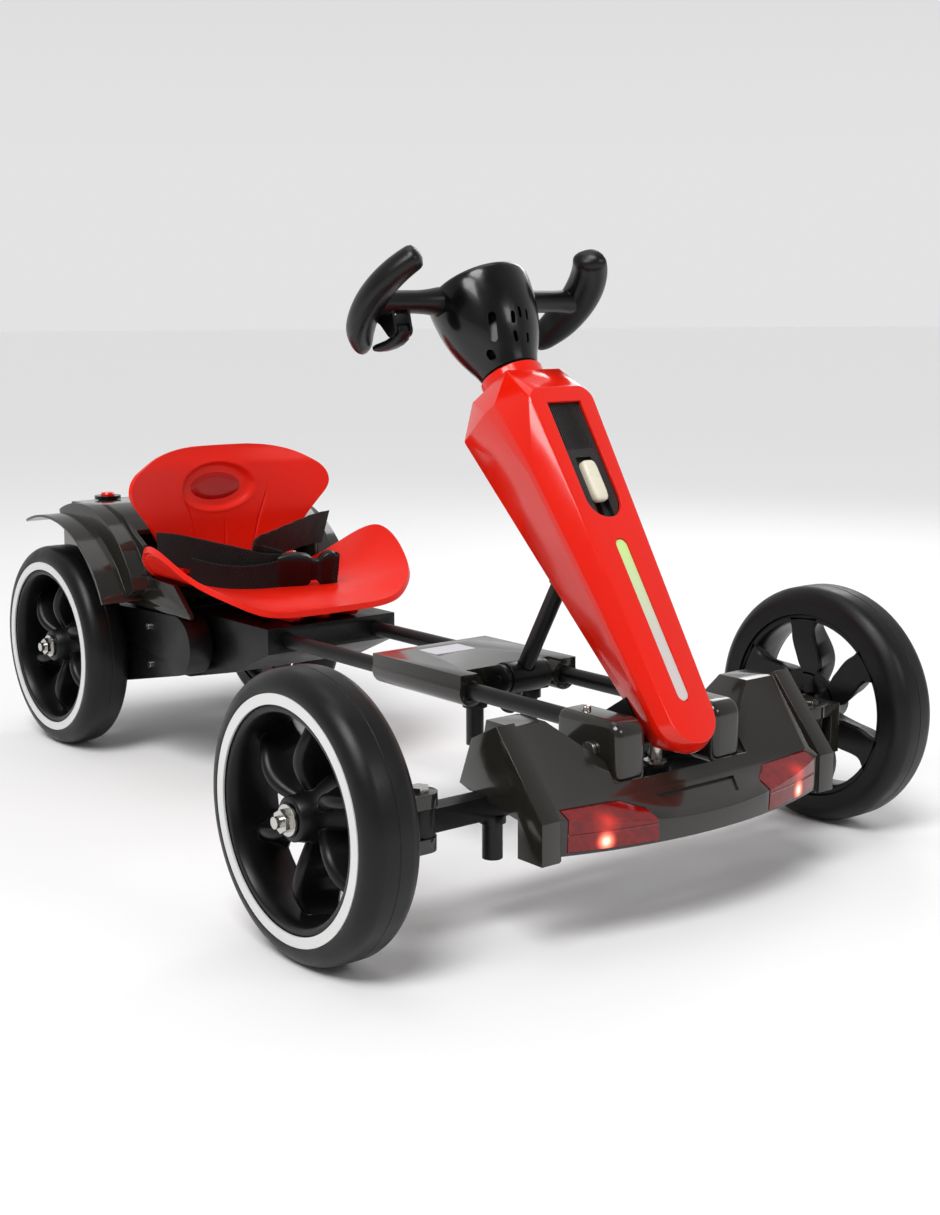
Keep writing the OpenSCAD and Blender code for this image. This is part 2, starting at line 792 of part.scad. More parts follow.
module gear_case() {
    color([0.07, 0.07, 0.075])
    translate([0, rear_y, 0]) {
        difference() {
            side_slab(-121, -92) case_shape(0);
            side_slab(-118, -95) case_shape(wall);
            translate([-121, 0, wheel_r]) rod_x(32, 20);
            translate([-92, 0, wheel_r]) rod_x(axle_d, 20);
            translate([-92, -180, motor_z]) rod_x(24, 12);
        }
        translate([-106, -75, wheel_r + 6]) rod_x(8, 26);
        translate([-106, -135, wheel_r + 12]) rod_x(8, 26);
        for (y = [-125, -90])
            translate([-93, y - 6, wheel_r + 30]) cube([3, 12, 14]);
        translate([-95, -220, wheel_r + 50]) cube([3, 12, 130 - wheel_r]);
    }
}

module gear_case_screws() {
    color([0.75, 0.76, 0.78])
    translate([-122.5, rear_y, 0]) {
        translate([0, -156, wheel_r + 40]) rod_x(7, 3);
        translate([0, -157, wheel_r - 4]) rod_x(7, 3);
    }
}

// hood and fenders in one moulding
module rear_cover() {
    color([0.24, 0.235, 0.225])
    translate([0, rear_y, 0]) {
        difference() {
            side_slab(-119, 119) hood_shape(0);
            side_slab(-116, 116) hood_shape(wall);
            side_slab(-113, 113) polygon([[-300, 150], [-300, 320], [-117, 320], [-117, 150]]);
            side_slab(-160, 160) polygon([[-300, 120], [-300, 180], [100, 180], [100, 120]]);
            translate([button_x, 26, 262]) cylinder(d = 24.2, h = 40);
        }
        side_slab(-117, 117) polygon([[-190, 180], [-190, 183], [64, 183], [64, 180]]);
        for (side = [-1, 1])
            fender(side);
    }
}

module hood_shape(d) {
    polygon([[-246 + d, 170], [-246 + d, 184 - d], [-212, 214 - d], [-150 + d, 217 - d],
        [-146 + d, 250 - d], [-120 + d, 264 - d], [-98, 282 - d], [-60, 292 - d],
        [36 - d, 288 - d], [62 - d, 262], [66 - d, 170]]);
}

// arched guard over one rear wheel: a low outer band and a raised inner ridge
module fender(side) {
    side_slab(side * 145.5 - 26.5, side * 145.5 + 26.5) fender_arc(155, 158, 70, 154, 0);
    side_slab(side * 129.5 - 10.5, side * 129.5 + 10.5) fender_arc(157, 182, 80, 152, 42);
}

// ring sector between two radii; drop moves the outer circle so that it nears the inner one at the tail
module fender_arc(r0, r1, a0, a1, drop) {
    translate([0, wheel_r]) intersection() {
        difference() {
            translate([drop * cos(130), drop * sin(130)]) circle(r = r1 - drop, $fn = 180);
            circle(r = r0, $fn = 180);
        }
        polygon([[0, 0], [400 * cos(a0), 400 * sin(a0)], [400 * cos(112), 400 * sin(112)],
            [400 * cos(a1), 400 * sin(a1)]]);
    }
}

module button_bezel() {
    color([0.04, 0.04, 0.045])
    translate([button_x, rear_y + 26, 0]) difference() {
        union() {
            translate([0, 0, 272]) cylinder(d = 24, h = 18);
            translate([0, 0, 289.2]) cylinder(d = 32, h = 4);
        }
        translate([0, 0, 276]) cylinder(d = 17.1, h = 20);
    }
}

module power_button() {
    color([0.85, 0.07, 0.04])
    translate([button_x, rear_y + 26, 280]) {
        cylinder(d = 17, h = 15);
        translate([0, 0, 15]) cylinder(d1 = 17, d2 = 14, h = 2);
    }
}

// ---- seat ----

// plan outline of the seat base, front edge toward -Y
module seat_plan() {
    hull() {
        for (side = [-1, 1]) {
            translate([side * 58, -306]) circle(r = 52);
            translate([side * (seat_w / 2 - 46), -226]) circle(r = 46);
            translate([side * 76, -176]) circle(r = 30);
        }
    }
}

// trough section of the seat base: flat middle and arched sides
module seat_section(t) {
    translate([-50, 0]) square([100, t]);
    for (side = [-1, 1])
        intersection() {
            translate([side * 50, 125]) difference() {
                circle(r = 125);
                circle(r = 125 - t);
            }
            translate([side > 0 ? 50 : -190, -1]) square([140, 62]);
        }
}

module seat_base() {
    color([0.85, 0.07, 0.04])
    translate([0, rear_y, 0]) difference() {
        union() {
            intersection() {
                translate([0, 0, 200]) front_slab(-370, -140) seat_section(seat_t);
                translate([0, 0, 190]) linear_extrude(90) seat_plan();
            }
            for (x = [-56, -20, 20, 56])
                translate([x - 2.5, -346, 180]) cube([5, 150, 21]);
            for (side = [-1, 1]) {
                translate([side * 76 - 5, -153, 196]) cube([10, 14, 24]);
                translate([side * 76, -142, 222]) rod_x(18, 10);
            }
        }
        for (side = [-1, 1])
            translate([side * 92, -186, 220]) cube([12, 34, 60], center = true);
        translate([0, -142, 222]) rod_x(8.1, 180);
    }
}

module seat_hinge() {
    color([0.72, 0.73, 0.75])
    translate([0, rear_y - 142, 222]) {
        rod_x(8, 170);
        for (side = [-1, 1])
            translate([side * 85, 0, 0]) rod_x(13, 4);
    }
}

// front view outline of the seat back, base edge at z = 0
module back_outline() {
    hull() {
        for (side = [-1, 1]) {
            translate([side * 70, 22]) circle(r = 22);
            translate([side * 98, back_h - 48]) circle(r = 36);
            translate([side * 40, back_h - 34]) circle(r = 34);
        }
    }
}

module seat_back() {
    color([0.85, 0.07, 0.04])
    translate([0, rear_y - 142, 222]) {
        difference() {
            intersection() {
                translate([0, -382, -10]) difference() {
                    cylinder(r = 402, h = 180, $fn = 240);
                    translate([0, 0, -1]) cylinder(r = 402 - seat_t, h = 190, $fn = 240);
                }
                translate([0, 0, 8]) front_slab(-60, 60) back_outline();
            }
            translate([0, 8, 84]) rotate([90, 0, 0]) scale([1.8, 1, 1])
                cylinder(r = 27, h = 12.6, center = true);
            for (x = [-52, 0, 52])
                translate([x - 1.2, -2, 14]) cube([2.4, 18.6 - abs(x) / 15, 40]);
        }
        for (side = [-1, 1])
            translate([side * 62, 0, 0]) difference() {
                union() {
                    rod_x(17, 14);
                    translate([-7, 0, -6]) cube([14, 17, 26]);
                }
                rod_x(8.1, 20);
            }
    }
}

// ---- belt ----

// flat webbing run through a list of points (x, y, z)
module webbing(pts)
    for (i = [0 : len(pts) - 2])
        hull() {
            translate(pts[i]) rotate([18, 0, 0]) cube([2, 2, 34], center = true);
            translate(pts[i + 1]) rotate([18, 0, 0]) cube([2, 2, 34], center = true);
        }

module belt_right() {
    color([0.05, 0.05, 0.055])
    translate([0, rear_y, 0])
        webbing([[-100, -162, 246], [-84, -196, 238], [-50, -232, 228], [-8, -252, 226]]);
}

module belt_left() {
    color([0.05, 0.05, 0.055])
    translate([0, rear_y, 0])
        webbing([[100, -162, 247], [62, -190, 243], [20, -216, 239], [-12, -233, 235],
            [-18, -240, 232]]);
}

module buckle() {
    color([0.06, 0.06, 0.065])
    translate([18, rear_y - 254, 227]) rotate([18, 0, 0]) difference() {
        cube([50, 12, 36], center = true);
        for (side = [-1, 1])
            translate([-6, 0, side * 20]) rotate([90, 0, 0]) cylinder(r = 7, h = 20, center = true);
    }
}

frame_tube_left();
frame_tube_right();
front_beam();
front_socket();
fold_pin();
nose_cover();
lamp_left();
lamp_right();
cross_plate();
cross_bracket();
blank_label();
rear_box();
battery();
motor();
gear_case();
gear_case_screws();
rear_axle();
rear_cover();
seat_base();
seat_hinge();
belt_left();
belt_right();
buckle();
button_bezel();
power_button();
seat_back();
column_core();
column_shroud();
light_strip();
ribbed_panel();
slide_button();
strut();
strut_clamp();
steering_shaft();
steering_hub();
grip_left();
grip_right();
throttle_trigger();
steering_spindle();
tie_rod();
knuckle_left();
knuckle_right();
stub_axle_left();
stub_axle_right();
tyre_front_left();
stripe_front_left();
rim_front_left();
tyre_front_right();
stripe_front_right();
rim_front_right();
tyre_rear_left();
stripe_rear_left();
rim_rear_left();
tyre_rear_right();
stripe_rear_right();
rim_rear_right();
drive_gear();
idler_rear();
idler_front();
motor_pinion();
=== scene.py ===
import json
import math

import bmesh
import bpy
import numpy as np
from mathutils import Matrix, Vector

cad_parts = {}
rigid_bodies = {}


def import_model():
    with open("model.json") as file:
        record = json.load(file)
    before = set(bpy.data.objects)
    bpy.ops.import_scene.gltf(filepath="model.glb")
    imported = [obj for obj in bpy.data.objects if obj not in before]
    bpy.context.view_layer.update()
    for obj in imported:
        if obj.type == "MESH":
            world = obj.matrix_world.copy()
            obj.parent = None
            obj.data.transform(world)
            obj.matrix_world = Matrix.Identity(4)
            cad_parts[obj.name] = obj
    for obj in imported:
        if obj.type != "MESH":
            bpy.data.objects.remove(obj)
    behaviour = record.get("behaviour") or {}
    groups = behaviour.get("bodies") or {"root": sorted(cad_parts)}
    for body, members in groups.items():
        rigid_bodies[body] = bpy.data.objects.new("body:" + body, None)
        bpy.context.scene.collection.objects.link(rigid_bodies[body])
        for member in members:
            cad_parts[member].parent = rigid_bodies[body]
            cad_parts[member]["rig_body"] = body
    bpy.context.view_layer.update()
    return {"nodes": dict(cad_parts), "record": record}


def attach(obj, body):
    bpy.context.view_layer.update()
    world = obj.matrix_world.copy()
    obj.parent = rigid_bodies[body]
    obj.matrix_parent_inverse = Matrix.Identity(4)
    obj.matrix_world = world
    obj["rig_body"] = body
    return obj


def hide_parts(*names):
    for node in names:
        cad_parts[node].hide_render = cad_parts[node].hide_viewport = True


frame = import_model()
nodes = frame["nodes"]
scene = bpy.context.scene


# ---------------------------------------------------------------- materials
def new_mat(name):
    m = bpy.data.materials.new(name)
    m.use_nodes = True
    nt = m.node_tree
    return m, nt, nt.nodes["Principled BSDF"]


def add(nt, kind, **props):
    n = nt.nodes.new(kind)
    for k, v in props.items():
        setattr(n, k, v)
    return n


def link(nt, a, b):
    nt.links.new(a, b)


def coords(nt):
    return add(nt, "ShaderNodeTexCoord").outputs["Object"]


def noise(nt, scale, detail=3.0, rough=0.5, vec=None):
    n = add(nt, "ShaderNodeTexNoise")
    n.inputs["Scale"].default_value = scale
    n.inputs["Detail"].default_value = detail
    n.inputs["Roughness"].default_value = rough
    link(nt, vec if vec is not None else coords(nt), n.inputs["Vector"])
    return n.outputs["Fac"]


def remap(nt, src, lo, hi, a=0.3, b=0.7):
    n = add(nt, "ShaderNodeMapRange")
    n.inputs["From Min"].default_value = a
    n.inputs["From Max"].default_value = b
    n.inputs["To Min"].default_value = lo
    n.inputs["To Max"].default_value = hi
    link(nt, src, n.inputs["Value"])
    return n.outputs["Result"]


def bump(nt, src, strength, dist, normal=None):
    n = add(nt, "ShaderNodeBump")
    n.inputs["Strength"].default_value = strength
    n.inputs["Distance"].default_value = dist
    link(nt, src, n.inputs["Height"])
    if normal is not None:
        link(nt, normal, n.inputs["Normal"])
    return n.outputs["Normal"]


def mix(nt, fac, a, b):
    n = add(nt, "ShaderNodeMix", data_type="RGBA")
    link(nt, fac, n.inputs["Factor"])
    for sock, v in ((n.inputs[6], a), (n.inputs[7], b)):
        if isinstance(v, tuple):
            sock.default_value = (*v, 1)
        else:
            link(nt, v, sock)
    return n.outputs[2]


def soft_edges(nt, radius=0.0009):
    """Normal that rounds every edge by a radius in metres."""
    n = add(nt, "ShaderNodeBevel", samples=4)
    n.inputs["Radius"].default_value = radius
    return n.outputs["Normal"]


# noise scales of moulded plastic, in waves per metre
CLOUD_SCALE, SMUDGE_SCALE, RIPPLE_SCALE = 9, 34, 26


def plastic(
    name, col, rough, grain=0.0, coat=0.0, vary=0.06, grain_scale=900, dark=0.85, shine=0.5
):
    """Moulded plastic: cloudy colour, smudged gloss, a slow ripple and, with grain, fine bumps."""
    m, nt, p = new_mat(name)
    cloud = noise(nt, CLOUD_SCALE, 4)
    darker = tuple(x * dark for x in col)
    link(nt, mix(nt, remap(nt, cloud, 0, 1), darker, col), p.inputs["Base Color"])
    smudge = noise(nt, SMUDGE_SCALE, 5, 0.6)
    link(nt, remap(nt, smudge, rough - vary, rough + vary), p.inputs["Roughness"])
    p.inputs["Coat Weight"].default_value = coat
    p.inputs["Coat Roughness"].default_value = 0.06
    p.inputs["Specular IOR Level"].default_value = shine
    normal = bump(nt, noise(nt, RIPPLE_SCALE, 2), 0.12, 0.0006, soft_edges(nt))
    if grain:
        normal = bump(nt, noise(nt, grain_scale, 2), grain, 0.0004, normal)
    link(nt, normal, p.inputs["Normal"])
    return m


def metal(name, col, rough):
    """Bare metal with uneven gloss."""
    m, nt, p = new_mat(name)
    p.inputs["Base Color"].default_value = (*col, 1)
    p.inputs["Metallic"].default_value = 1.0
    link(nt, remap(nt, noise(nt, 120, 3), rough - 0.08, rough + 0.1), p.inputs["Roughness"])
    link(nt, soft_edges(nt, 0.0006), p.inputs["Normal"])
    return m


def math_node(nt, op, a, b=None):
    n = add(nt, "ShaderNodeMath", operation=op)
    for sock, v in zip(n.inputs, (a, b)):
        if isinstance(v, (int, float)):
            sock.default_value = v
        elif v is not None:
            link(nt, v, sock)
    return n.outputs[0]


def axes(nt, vec=None):
    """X, Y and Z of a vector, the place in the CAD frame unless another is given."""
    n = add(nt, "ShaderNodeSeparateXYZ")
    link(nt, vec if vec is not None else coords(nt), n.inputs[0])
    return n


def spot(nt, centre, radius):
    """1 at a point of the CAD frame (metres), falling to 0 at the radius."""
    n = add(nt, "ShaderNodeVectorMath", operation="DISTANCE")
    link(nt, coords(nt), n.inputs[0])
    n.inputs[1].default_value = centre
    return remap(nt, n.outputs["Value"], 1, 0, 0, radius)


# heights in a lamp, in metres: its two painted highlights, the middle of its faint painted glow and
# the ridge across its lens
LAMP_LOW_HIGHLIGHT_Z, LAMP_HIGH_HIGHLIGHT_Z, LAMP_MID_Z, LAMP_RIDGE_Z = 0.0925, 0.108, 0.098, 0.1005


def lamp_material(name, x, y):
    """Clear red lens with two painted highlights glowing on it, the lower one stronger, and a faint
    painted glow over its middle.
    """
    m, nt, p = new_mat(name)
    cells = remap(nt, noise(nt, 160, 2), 0, 1)
    red = mix(nt, cells, (0.11, 0.0004, 0.0008), (0.2, 0.001, 0.002))
    link(nt, red, p.inputs["Base Color"])
    p.inputs["Roughness"].default_value = 0.07
    p.inputs["Coat Weight"].default_value = 0.3
    p.inputs["Coat Roughness"].default_value = 0.03
    p.inputs["Specular IOR Level"].default_value = 0.35
    # painted highlights: glowing spots at fixed points of the lens, and a faint painted glow over
    # it
    low_painted_highlight = math_node(nt, "POWER", spot(nt, (x, y, LAMP_LOW_HIGHLIGHT_Z), 0.011), 1.6)
    high_painted_highlight = math_node(nt, "POWER", spot(nt, (x + 0.002, y, LAMP_HIGH_HIGHLIGHT_Z), 0.019), 2.2)
    painted_veil_glow = math_node(nt, "POWER", spot(nt, (x, y, LAMP_MID_Z), 0.06), 2.5)
    low_highlight_glow = math_node(nt, "MULTIPLY", low_painted_highlight, 4.0)
    faint_painted_glow = math_node(
        nt, "ADD", math_node(nt, "MULTIPLY", high_painted_highlight, 0.7), math_node(nt, "MULTIPLY", painted_veil_glow, 0.05)
    )
    painted_highlight_strength = math_node(nt, "ADD", low_highlight_glow, faint_painted_glow)
    highlight_tint = mix(nt, low_painted_highlight, (1.0, 0.045, 0.02), (1.0, 0.62, 0.42))
    link(nt, highlight_tint, p.inputs["Emission Color"])
    link(nt, painted_highlight_strength, p.inputs["Emission Strength"])
    off_ridge = math_node(nt, "SUBTRACT", axes(nt).outputs["Z"], LAMP_RIDGE_Z)
    ridge = remap(nt, math_node(nt, "ABSOLUTE", off_ridge), 1, 0, 0, 0.0012)
    link(nt, bump(nt, ridge, 0.8, 0.0012, soft_edges(nt)), p.inputs["Normal"])
    return m


# threads of the belt and ribs of the panel, in millimetres and metres
WARP_PITCH, WEFT_PITCH, RIB_PITCH = 1.5, 1.9, 0.0024


def webbing_material():
    """Plain weave over a strap's length and width, which its UV map holds in millimetres, with the
    raised threads painted lighter as a painted highlight.
    """
    m, nt, p = new_mat("webbing")
    uv = axes(nt, add(nt, "ShaderNodeTexCoord").outputs["UV"])
    warp = math_node(nt, "SINE", math_node(nt, "MULTIPLY", uv.outputs["X"], math.pi / WARP_PITCH))
    weft = math_node(nt, "SINE", math_node(nt, "MULTIPLY", uv.outputs["Y"], math.pi / WEFT_PITCH))
    weave = math_node(nt, "MULTIPLY", warp, weft)
    up = remap(nt, weave, 0, 1, -0.8, 0.8)
    fuzz = noise(nt, 1500, 2)
    # painted highlight and shade: colour lighter where the threads rise, darker where they sink
    base = mix(nt, up, (0.0015, 0.0015, 0.0018), (0.03, 0.03, 0.031))
    link(nt, base, p.inputs["Base Color"])
    p.inputs["Roughness"].default_value = 0.72
    p.inputs["Specular IOR Level"].default_value = 0.15
    p.inputs["Sheen Weight"].default_value = 0.03
    p.inputs["Sheen Roughness"].default_value = 0.5
    rough = bump(nt, fuzz, 0.25, 0.0003)
    link(nt, bump(nt, up, 0.9, 0.0006, rough), p.inputs["Normal"])
    return m


# heights in metres where the light strip starts to turn green and where it is all green
STRIP_FADE_Z = (0.235, 0.315)


def strip_material():
    """Diffuser that glows pale green-yellow at its upper end and fades to warm white."""
    m, nt, p = new_mat("diffuser")
    up = remap(nt, axes(nt).outputs["Z"], 0, 1, *STRIP_FADE_Z)
    tint = mix(nt, up, (0.56, 0.52, 0.5), (0.46, 0.66, 0.22))
    link(nt, tint, p.inputs["Base Color"])
    link(nt, tint, p.inputs["Emission Color"])
    link(nt, remap(nt, up, 0.1, 0.28, 0, 1), p.inputs["Emission Strength"])
    link(nt, remap(nt, noise(nt, 300, 2), 0.4, 0.5), p.inputs["Roughness"])
    link(nt, soft_edges(nt), p.inputs["Normal"])
    return m


def ribbed_material():
    """Black panel with fine ribs along the column, their crests painted lighter and the grooves
    between them darker: painted highlight and shade.
    """
    m, nt, p = new_mat("ribbed")
    turns = math_node(nt, "MULTIPLY", axes(nt).outputs["X"], 2 * math.pi / RIB_PITCH)
    rib_height_and_shade = remap(nt, math_node(nt, "SINE", turns), 0, 1, -0.6, 0.6)
    # painted highlight and shade: colour lighter on the rib crests, darker in the grooves
    link(nt, mix(nt, rib_height_and_shade, (0.001, 0.001, 0.001), (0.02, 0.02, 0.021)), p.inputs["Base Color"])
    link(nt, remap(nt, noise(nt, 400, 2), 0.34, 0.46), p.inputs["Roughness"])
    link(nt, bump(nt, rib_height_and_shade, 0.9, 0.0008), p.inputs["Normal"])
    return m


PLASTICS = {
    "tyre": dict(
        col=(0.004, 0.004, 0.0042), rough=0.4, grain=0.16, vary=0.08, grain_scale=620, shine=0.3
    ),
    "white_ring": dict(col=(0.74, 0.74, 0.73), rough=0.42, dark=0.94),
    "rim_black": dict(col=(0.003, 0.003, 0.0032), rough=0.36, grain=0.08, shine=0.3),
    "frame_black": dict(
        col=(0.004, 0.004, 0.0043), rough=0.34, grain=0.16, grain_scale=420, shine=0.3
    ),
    "cover_grey": dict(
        col=(0.017, 0.0155, 0.0125), rough=0.15, coat=0.3, vary=0.05, shine=0.45
    ),
    "red_gloss": dict(
        col=(0.8, 0.011, 0.002), rough=0.15, coat=0.3, vary=0.05, dark=0.94, shine=0.35
    ),
    "red_seat": dict(
        col=(0.84, 0.013, 0.003), rough=0.34, grain=0.12, vary=0.06, dark=0.94, shine=0.3
    ),
    "red_badge": dict(col=(0.46, 0.006, 0.003), rough=0.22, coat=0.2, vary=0.03, shine=0.3),
    "black_plastic": dict(
        col=(0.0035, 0.0035, 0.0038), rough=0.32, grain=0.16, grain_scale=1100, shine=0.35
    ),
    "black_gloss": dict(col=(0.003, 0.003, 0.0032), rough=0.22, coat=0.2, shine=0.35),
    "ivory": dict(col=(0.78, 0.73, 0.58), rough=0.3, dark=0.96),
    "label": dict(col=(0.62, 0.62, 0.66), rough=0.5, dark=0.97),
    "gear_plastic": dict(col=(0.6, 0.59, 0.52), rough=0.4),
    "battery_case": dict(col=(0.02, 0.02, 0.023), rough=0.45),
}
METALS = {
    "zinc_steel": dict(col=(0.56, 0.55, 0.52), rough=0.24),
    "pinion_brass": dict(col=(0.6, 0.42, 0.18), rough=0.3),
    "motor_can": dict(col=(0.42, 0.43, 0.45), rough=0.3),
}
LAMP_X, LAMP_Y = 0.117, -0.508
M = {name: plastic(name, **look) for name, look in PLASTICS.items()}
M.update({name: metal(name, **look) for name, look in METALS.items()})
M["lamp_red"] = lamp_material("lamp_red", LAMP_X, LAMP_Y)
M["lamp_red_right"] = lamp_material("lamp_red_right", -LAMP_X, LAMP_Y)
M["webbing"] = webbing_material()
M["ribbed"] = ribbed_material()
M["diffuser"] = strip_material()


def dress(o, mat):
    o.data.materials.clear()
    o.data.materials.append(M[mat])


slots = {s["node"]: s["material_slot"] for s in frame["record"]["subparts"]}
for name, o in nodes.items():
    dress(o, slots[name])
dress(nodes["ribbed_panel"], "ribbed")
dress(nodes["lamp_right"], "lamp_red_right")

# ---------------------------------------------------------------- mesh helpers
MM = 0.001


def add_object(name, data):
    o = bpy.data.objects.new(name, data)
    scene.collection.objects.link(o)
    return o


def solid(name, verts, faces, weld=True):
    """Object from points in millimetres in the CAD frame, with its faces turned outward."""
    me = bpy.data.meshes.new(name)
    me.from_pydata([tuple(float(c) * MM for c in v) for v in verts], [], faces)
    bm = bmesh.new()
    bm.from_mesh(me)
    if weld:
        bmesh.ops.remove_doubles(bm, verts=bm.verts, dist=1e-6)
    bmesh.ops.recalc_face_normals(bm, faces=bm.faces)
    bm.to_mesh(me)
    bm.free()
    return add_object(name, me)


def make(name, verts, faces, mat, body, replaces=(), slot=None, angle=40.0, weld=True):
    """A piece that rides on a CAD body and, if said, stands for CAD nodes."""
    o = solid(name, verts, faces, weld)
    o.data.materials.append(M[mat])
    smooth(o, angle)
    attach(o, body)
    if replaces:
        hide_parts(*replaces)
    return o


def smooth(o, angle):
    """Smooth shading that keeps edges sharper than the angle crisp."""
    me = o.data
    bm = bmesh.new()
    bm.from_mesh(me)
    for f in bm.faces:
        f.smooth = True
    for e in bm.edges:
        e.smooth = len(e.link_faces) == 2 and e.calc_face_angle(0) < math.radians(angle)
    bm.to_mesh(me)
    bm.free()


def modify(o, kind, **props):
    m = o.modifiers.new(kind.lower(), kind)
    for k, v in props.items():
        setattr(m, k, v)
    return m


def bake(o):
    """Applies the modifiers of an object to its mesh."""
    dg = bpy.context.evaluated_depsgraph_get()
    dg.update()
    me = bpy.data.meshes.new_from_object(o.evaluated_get(dg))
    o.modifiers.clear()
    o.data = me
    return o


def bevel(o, width, angle, segments=3):
    """Rounds the edges that are sharper than the angle."""
    modify(
        o, "BEVEL", width=width, segments=segments, limit_method="ANGLE",
        angle_limit=math.radians(angle),
    )


def mould(o, width=0.0012, angle=35, segments=3, shade=40):
    """Rounds the edges of a solid piece for good and shades it."""
    bevel(o, width, angle, segments)
    bake(o)
    smooth(o, shade)


def thicken(o, thickness, offset, edge, angle):
    """Turns a sheet into a shell with rolled edges."""
    modify(o, "SOLIDIFY", thickness=thickness, offset=offset, use_even_offset=True)
    bevel(o, edge, angle)
    modify(o, "SUBSURF", levels=1, render_levels=1)
    bake(o)
    smooth(o, 60)


def bridge(rings, caps=True):
    """Faces that join closed rings of equal length, one after another."""
    n = len(rings[0])
    verts = [p for r in rings for p in r]
    faces = []
    for i in range(len(rings) - 1):
        for j in range(n):
            k = (j + 1) % n
            faces.append((i * n + j, i * n + k, (i + 1) * n + k, (i + 1) * n + j))
    if caps:
        faces.append(tuple(range(n)))
        faces.append(tuple((len(rings) - 1) * n + j for j in range(n)))
    return verts, faces


def extrude(front, rear):
    """Solid between two outlines with as many points."""
    n = len(front)
    faces = [tuple(range(n)), tuple(range(n, 2 * n))]
    faces += [(j, (j + 1) % n, n + (j + 1) % n, n + j) for j in range(n)]
    return front + rear, faces


def slab(x0, x1, profile):
    """Solid of a (y, z) profile between two x stations."""
    return extrude([(x0, y, z) for y, z in profile], [(x1, y, z) for y, z in profile])


def prism(outline, y0, y1):
    """Solid of an (x, z) outline between two y stations."""
    return extrude([(x, y0, z) for x, z in outline], [(x, y1, z) for x, z in outline])


def swell(value, power):
    """A sine or cosine to a power, sign kept: rings between an oval and a box."""
    return math.copysign(abs(value) ** power, value)


def revolve(profile, n=128):
    """Solid of a closed (radius, height) profile about local z."""
    rings = []
    for k in range(n):
        a = 2 * math.pi * k / n
        rings.append([(r * math.cos(a), r * math.sin(a), h) for r, h in profile])
    rings.append(rings[0])
    return bridge(rings, caps=False)


def curve(points, n):
    """Smooth curve through points (Catmull-Rom), n steps between each two."""
    p = [np.array(q, float) for q in points]
    p = [2 * p[0] - p[1], *p, 2 * p[-1] - p[-2]]
    out = []
    for i in range(1, len(p) - 2):
        for t in np.arange(n) / n:
            a, b, c, d = p[i - 1 : i + 3]
            square = (2 * a - 5 * b + 4 * c - d) * t * t
            cube = (3 * b - a - 3 * c + d) * t**3
            out.append(0.5 * (2 * b + (c - a) * t + square + cube))
    out.append(p[-2])
    return out


def arc(cx, cy, r, a0, a1, n):
    """n points of an arc between two angles in degrees."""
    return [
        (cx + r * math.cos(math.radians(a)), cy + r * math.sin(math.radians(a)))
        for a in np.linspace(a0, a1, n)
    ]


def ramp(x, a, b):
    """Smooth step from 0 at a to 1 at b."""
    t = min(max((x - a) / (b - a), 0.0), 1.0)
    return t * t * (3 - 2 * t)


def move(verts, fn):
    return [fn(*v) for v in verts]


# frames of part.scad, in millimetres
WHEELBASE = 778.0
FRONT_Y, REAR_Y, WHEEL_R = 15 - WHEELBASE / 2, 15 + WHEELBASE / 2, 120.0
FOLD = np.array((0, FRONT_Y - 72, 148.0))
TILT = math.radians(32.5)
COLUMN_LEN = 366.0


def column(x, y, z):
    """From the frame of the folding column to the CAD frame."""
    c, s = math.cos(TILT), math.sin(TILT)
    return (x, FOLD[1] + y * c + z * s, FOLD[2] - y * s + z * c)


def head(x, y, z):
    """From the frame of the steering head, on top of the column, to the CAD frame."""
    return column(x, y, z + COLUMN_LEN)


def wheel(side, half_track, y):
    """Places wheel points whose last coordinate runs outward from the wheel's outer face."""
    return lambda a, b, h: (side * (half_track + h), y + b, WHEEL_R - side * a)


def merge(*parts):
    """One vertex and face list from several."""
    verts, faces = [], []
    for v, f in parts:
        k = len(verts)
        verts += list(v)
        faces += [tuple(i + k for i in q) for q in f]
    return verts, faces


# ---------------------------------------------------------------- wheels
RIM_R = WHEEL_R - 27.4
TYRE_W = 52.0


def tyre_profile():
    front = [(RIM_R + 0.1, -1.6), (RIM_R + 9.0, -1.6), (RIM_R + 9.2, -0.5), (RIM_R + 10.2, 0)]
    shoulder = arc(WHEEL_R - 16, -16, 16, 90, 8, 12)
    seam = [(WHEEL_R, -25.4), (WHEEL_R - 0.35, -25.7), (WHEEL_R - 0.35, -26.3), (WHEEL_R, -26.6)]
    back = arc(WHEEL_R - 16, 16 - TYRE_W, 16, -8, -90, 12)
    return front + shoulder + seam + back + [(RIM_R + 0.1, -TYRE_W)]


SPOKES, SPOKE_FROM_R, SPOKE_TO_R = 6, 14, RIM_R - 4


def blade(k):
    """One deep radial spoke whose rounded front edge arches outward between hub and barrel."""
    rings = []
    a = 2 * math.pi * k / SPOKES
    for t in np.linspace(0, 1, 19):
        r = SPOKE_FROM_R + (SPOKE_TO_R - SPOKE_FROM_R) * t
        arch = math.sin(math.pi * t)
        flare = 5.5 * ramp(t, 0.78, 1) ** 2 + 3.0 * (1 - ramp(t, 0, 0.16)) ** 2
        wide = 4.4 + 2.2 * arch + flare
        front, rear = -25.5 + 15.5 * arch, 2 - TYRE_W
        swirl = a + math.radians(7) * math.sin(2 * math.pi * t) * 0.5 - math.radians(5) * t
        tx, ty = -math.sin(swirl), math.cos(swirl)
        ring = []
        for q in np.linspace(0, math.pi, 11):
            u, v = wide * math.cos(q), front - 9 + 9 * math.sin(q) ** 0.8
            ring.append((u, v))
        back = wide + 9.0 * ramp(t, 0.1, 0.42)
        ring += [(-back, rear + 3), (-back + 2, rear), (back - 2, rear), (back, rear + 3)]
        rings.append(
            [(r * math.cos(swirl) + u * tx, r * math.sin(swirl) + u * ty, v) for u, v in ring]
        )
    return bridge(rings)


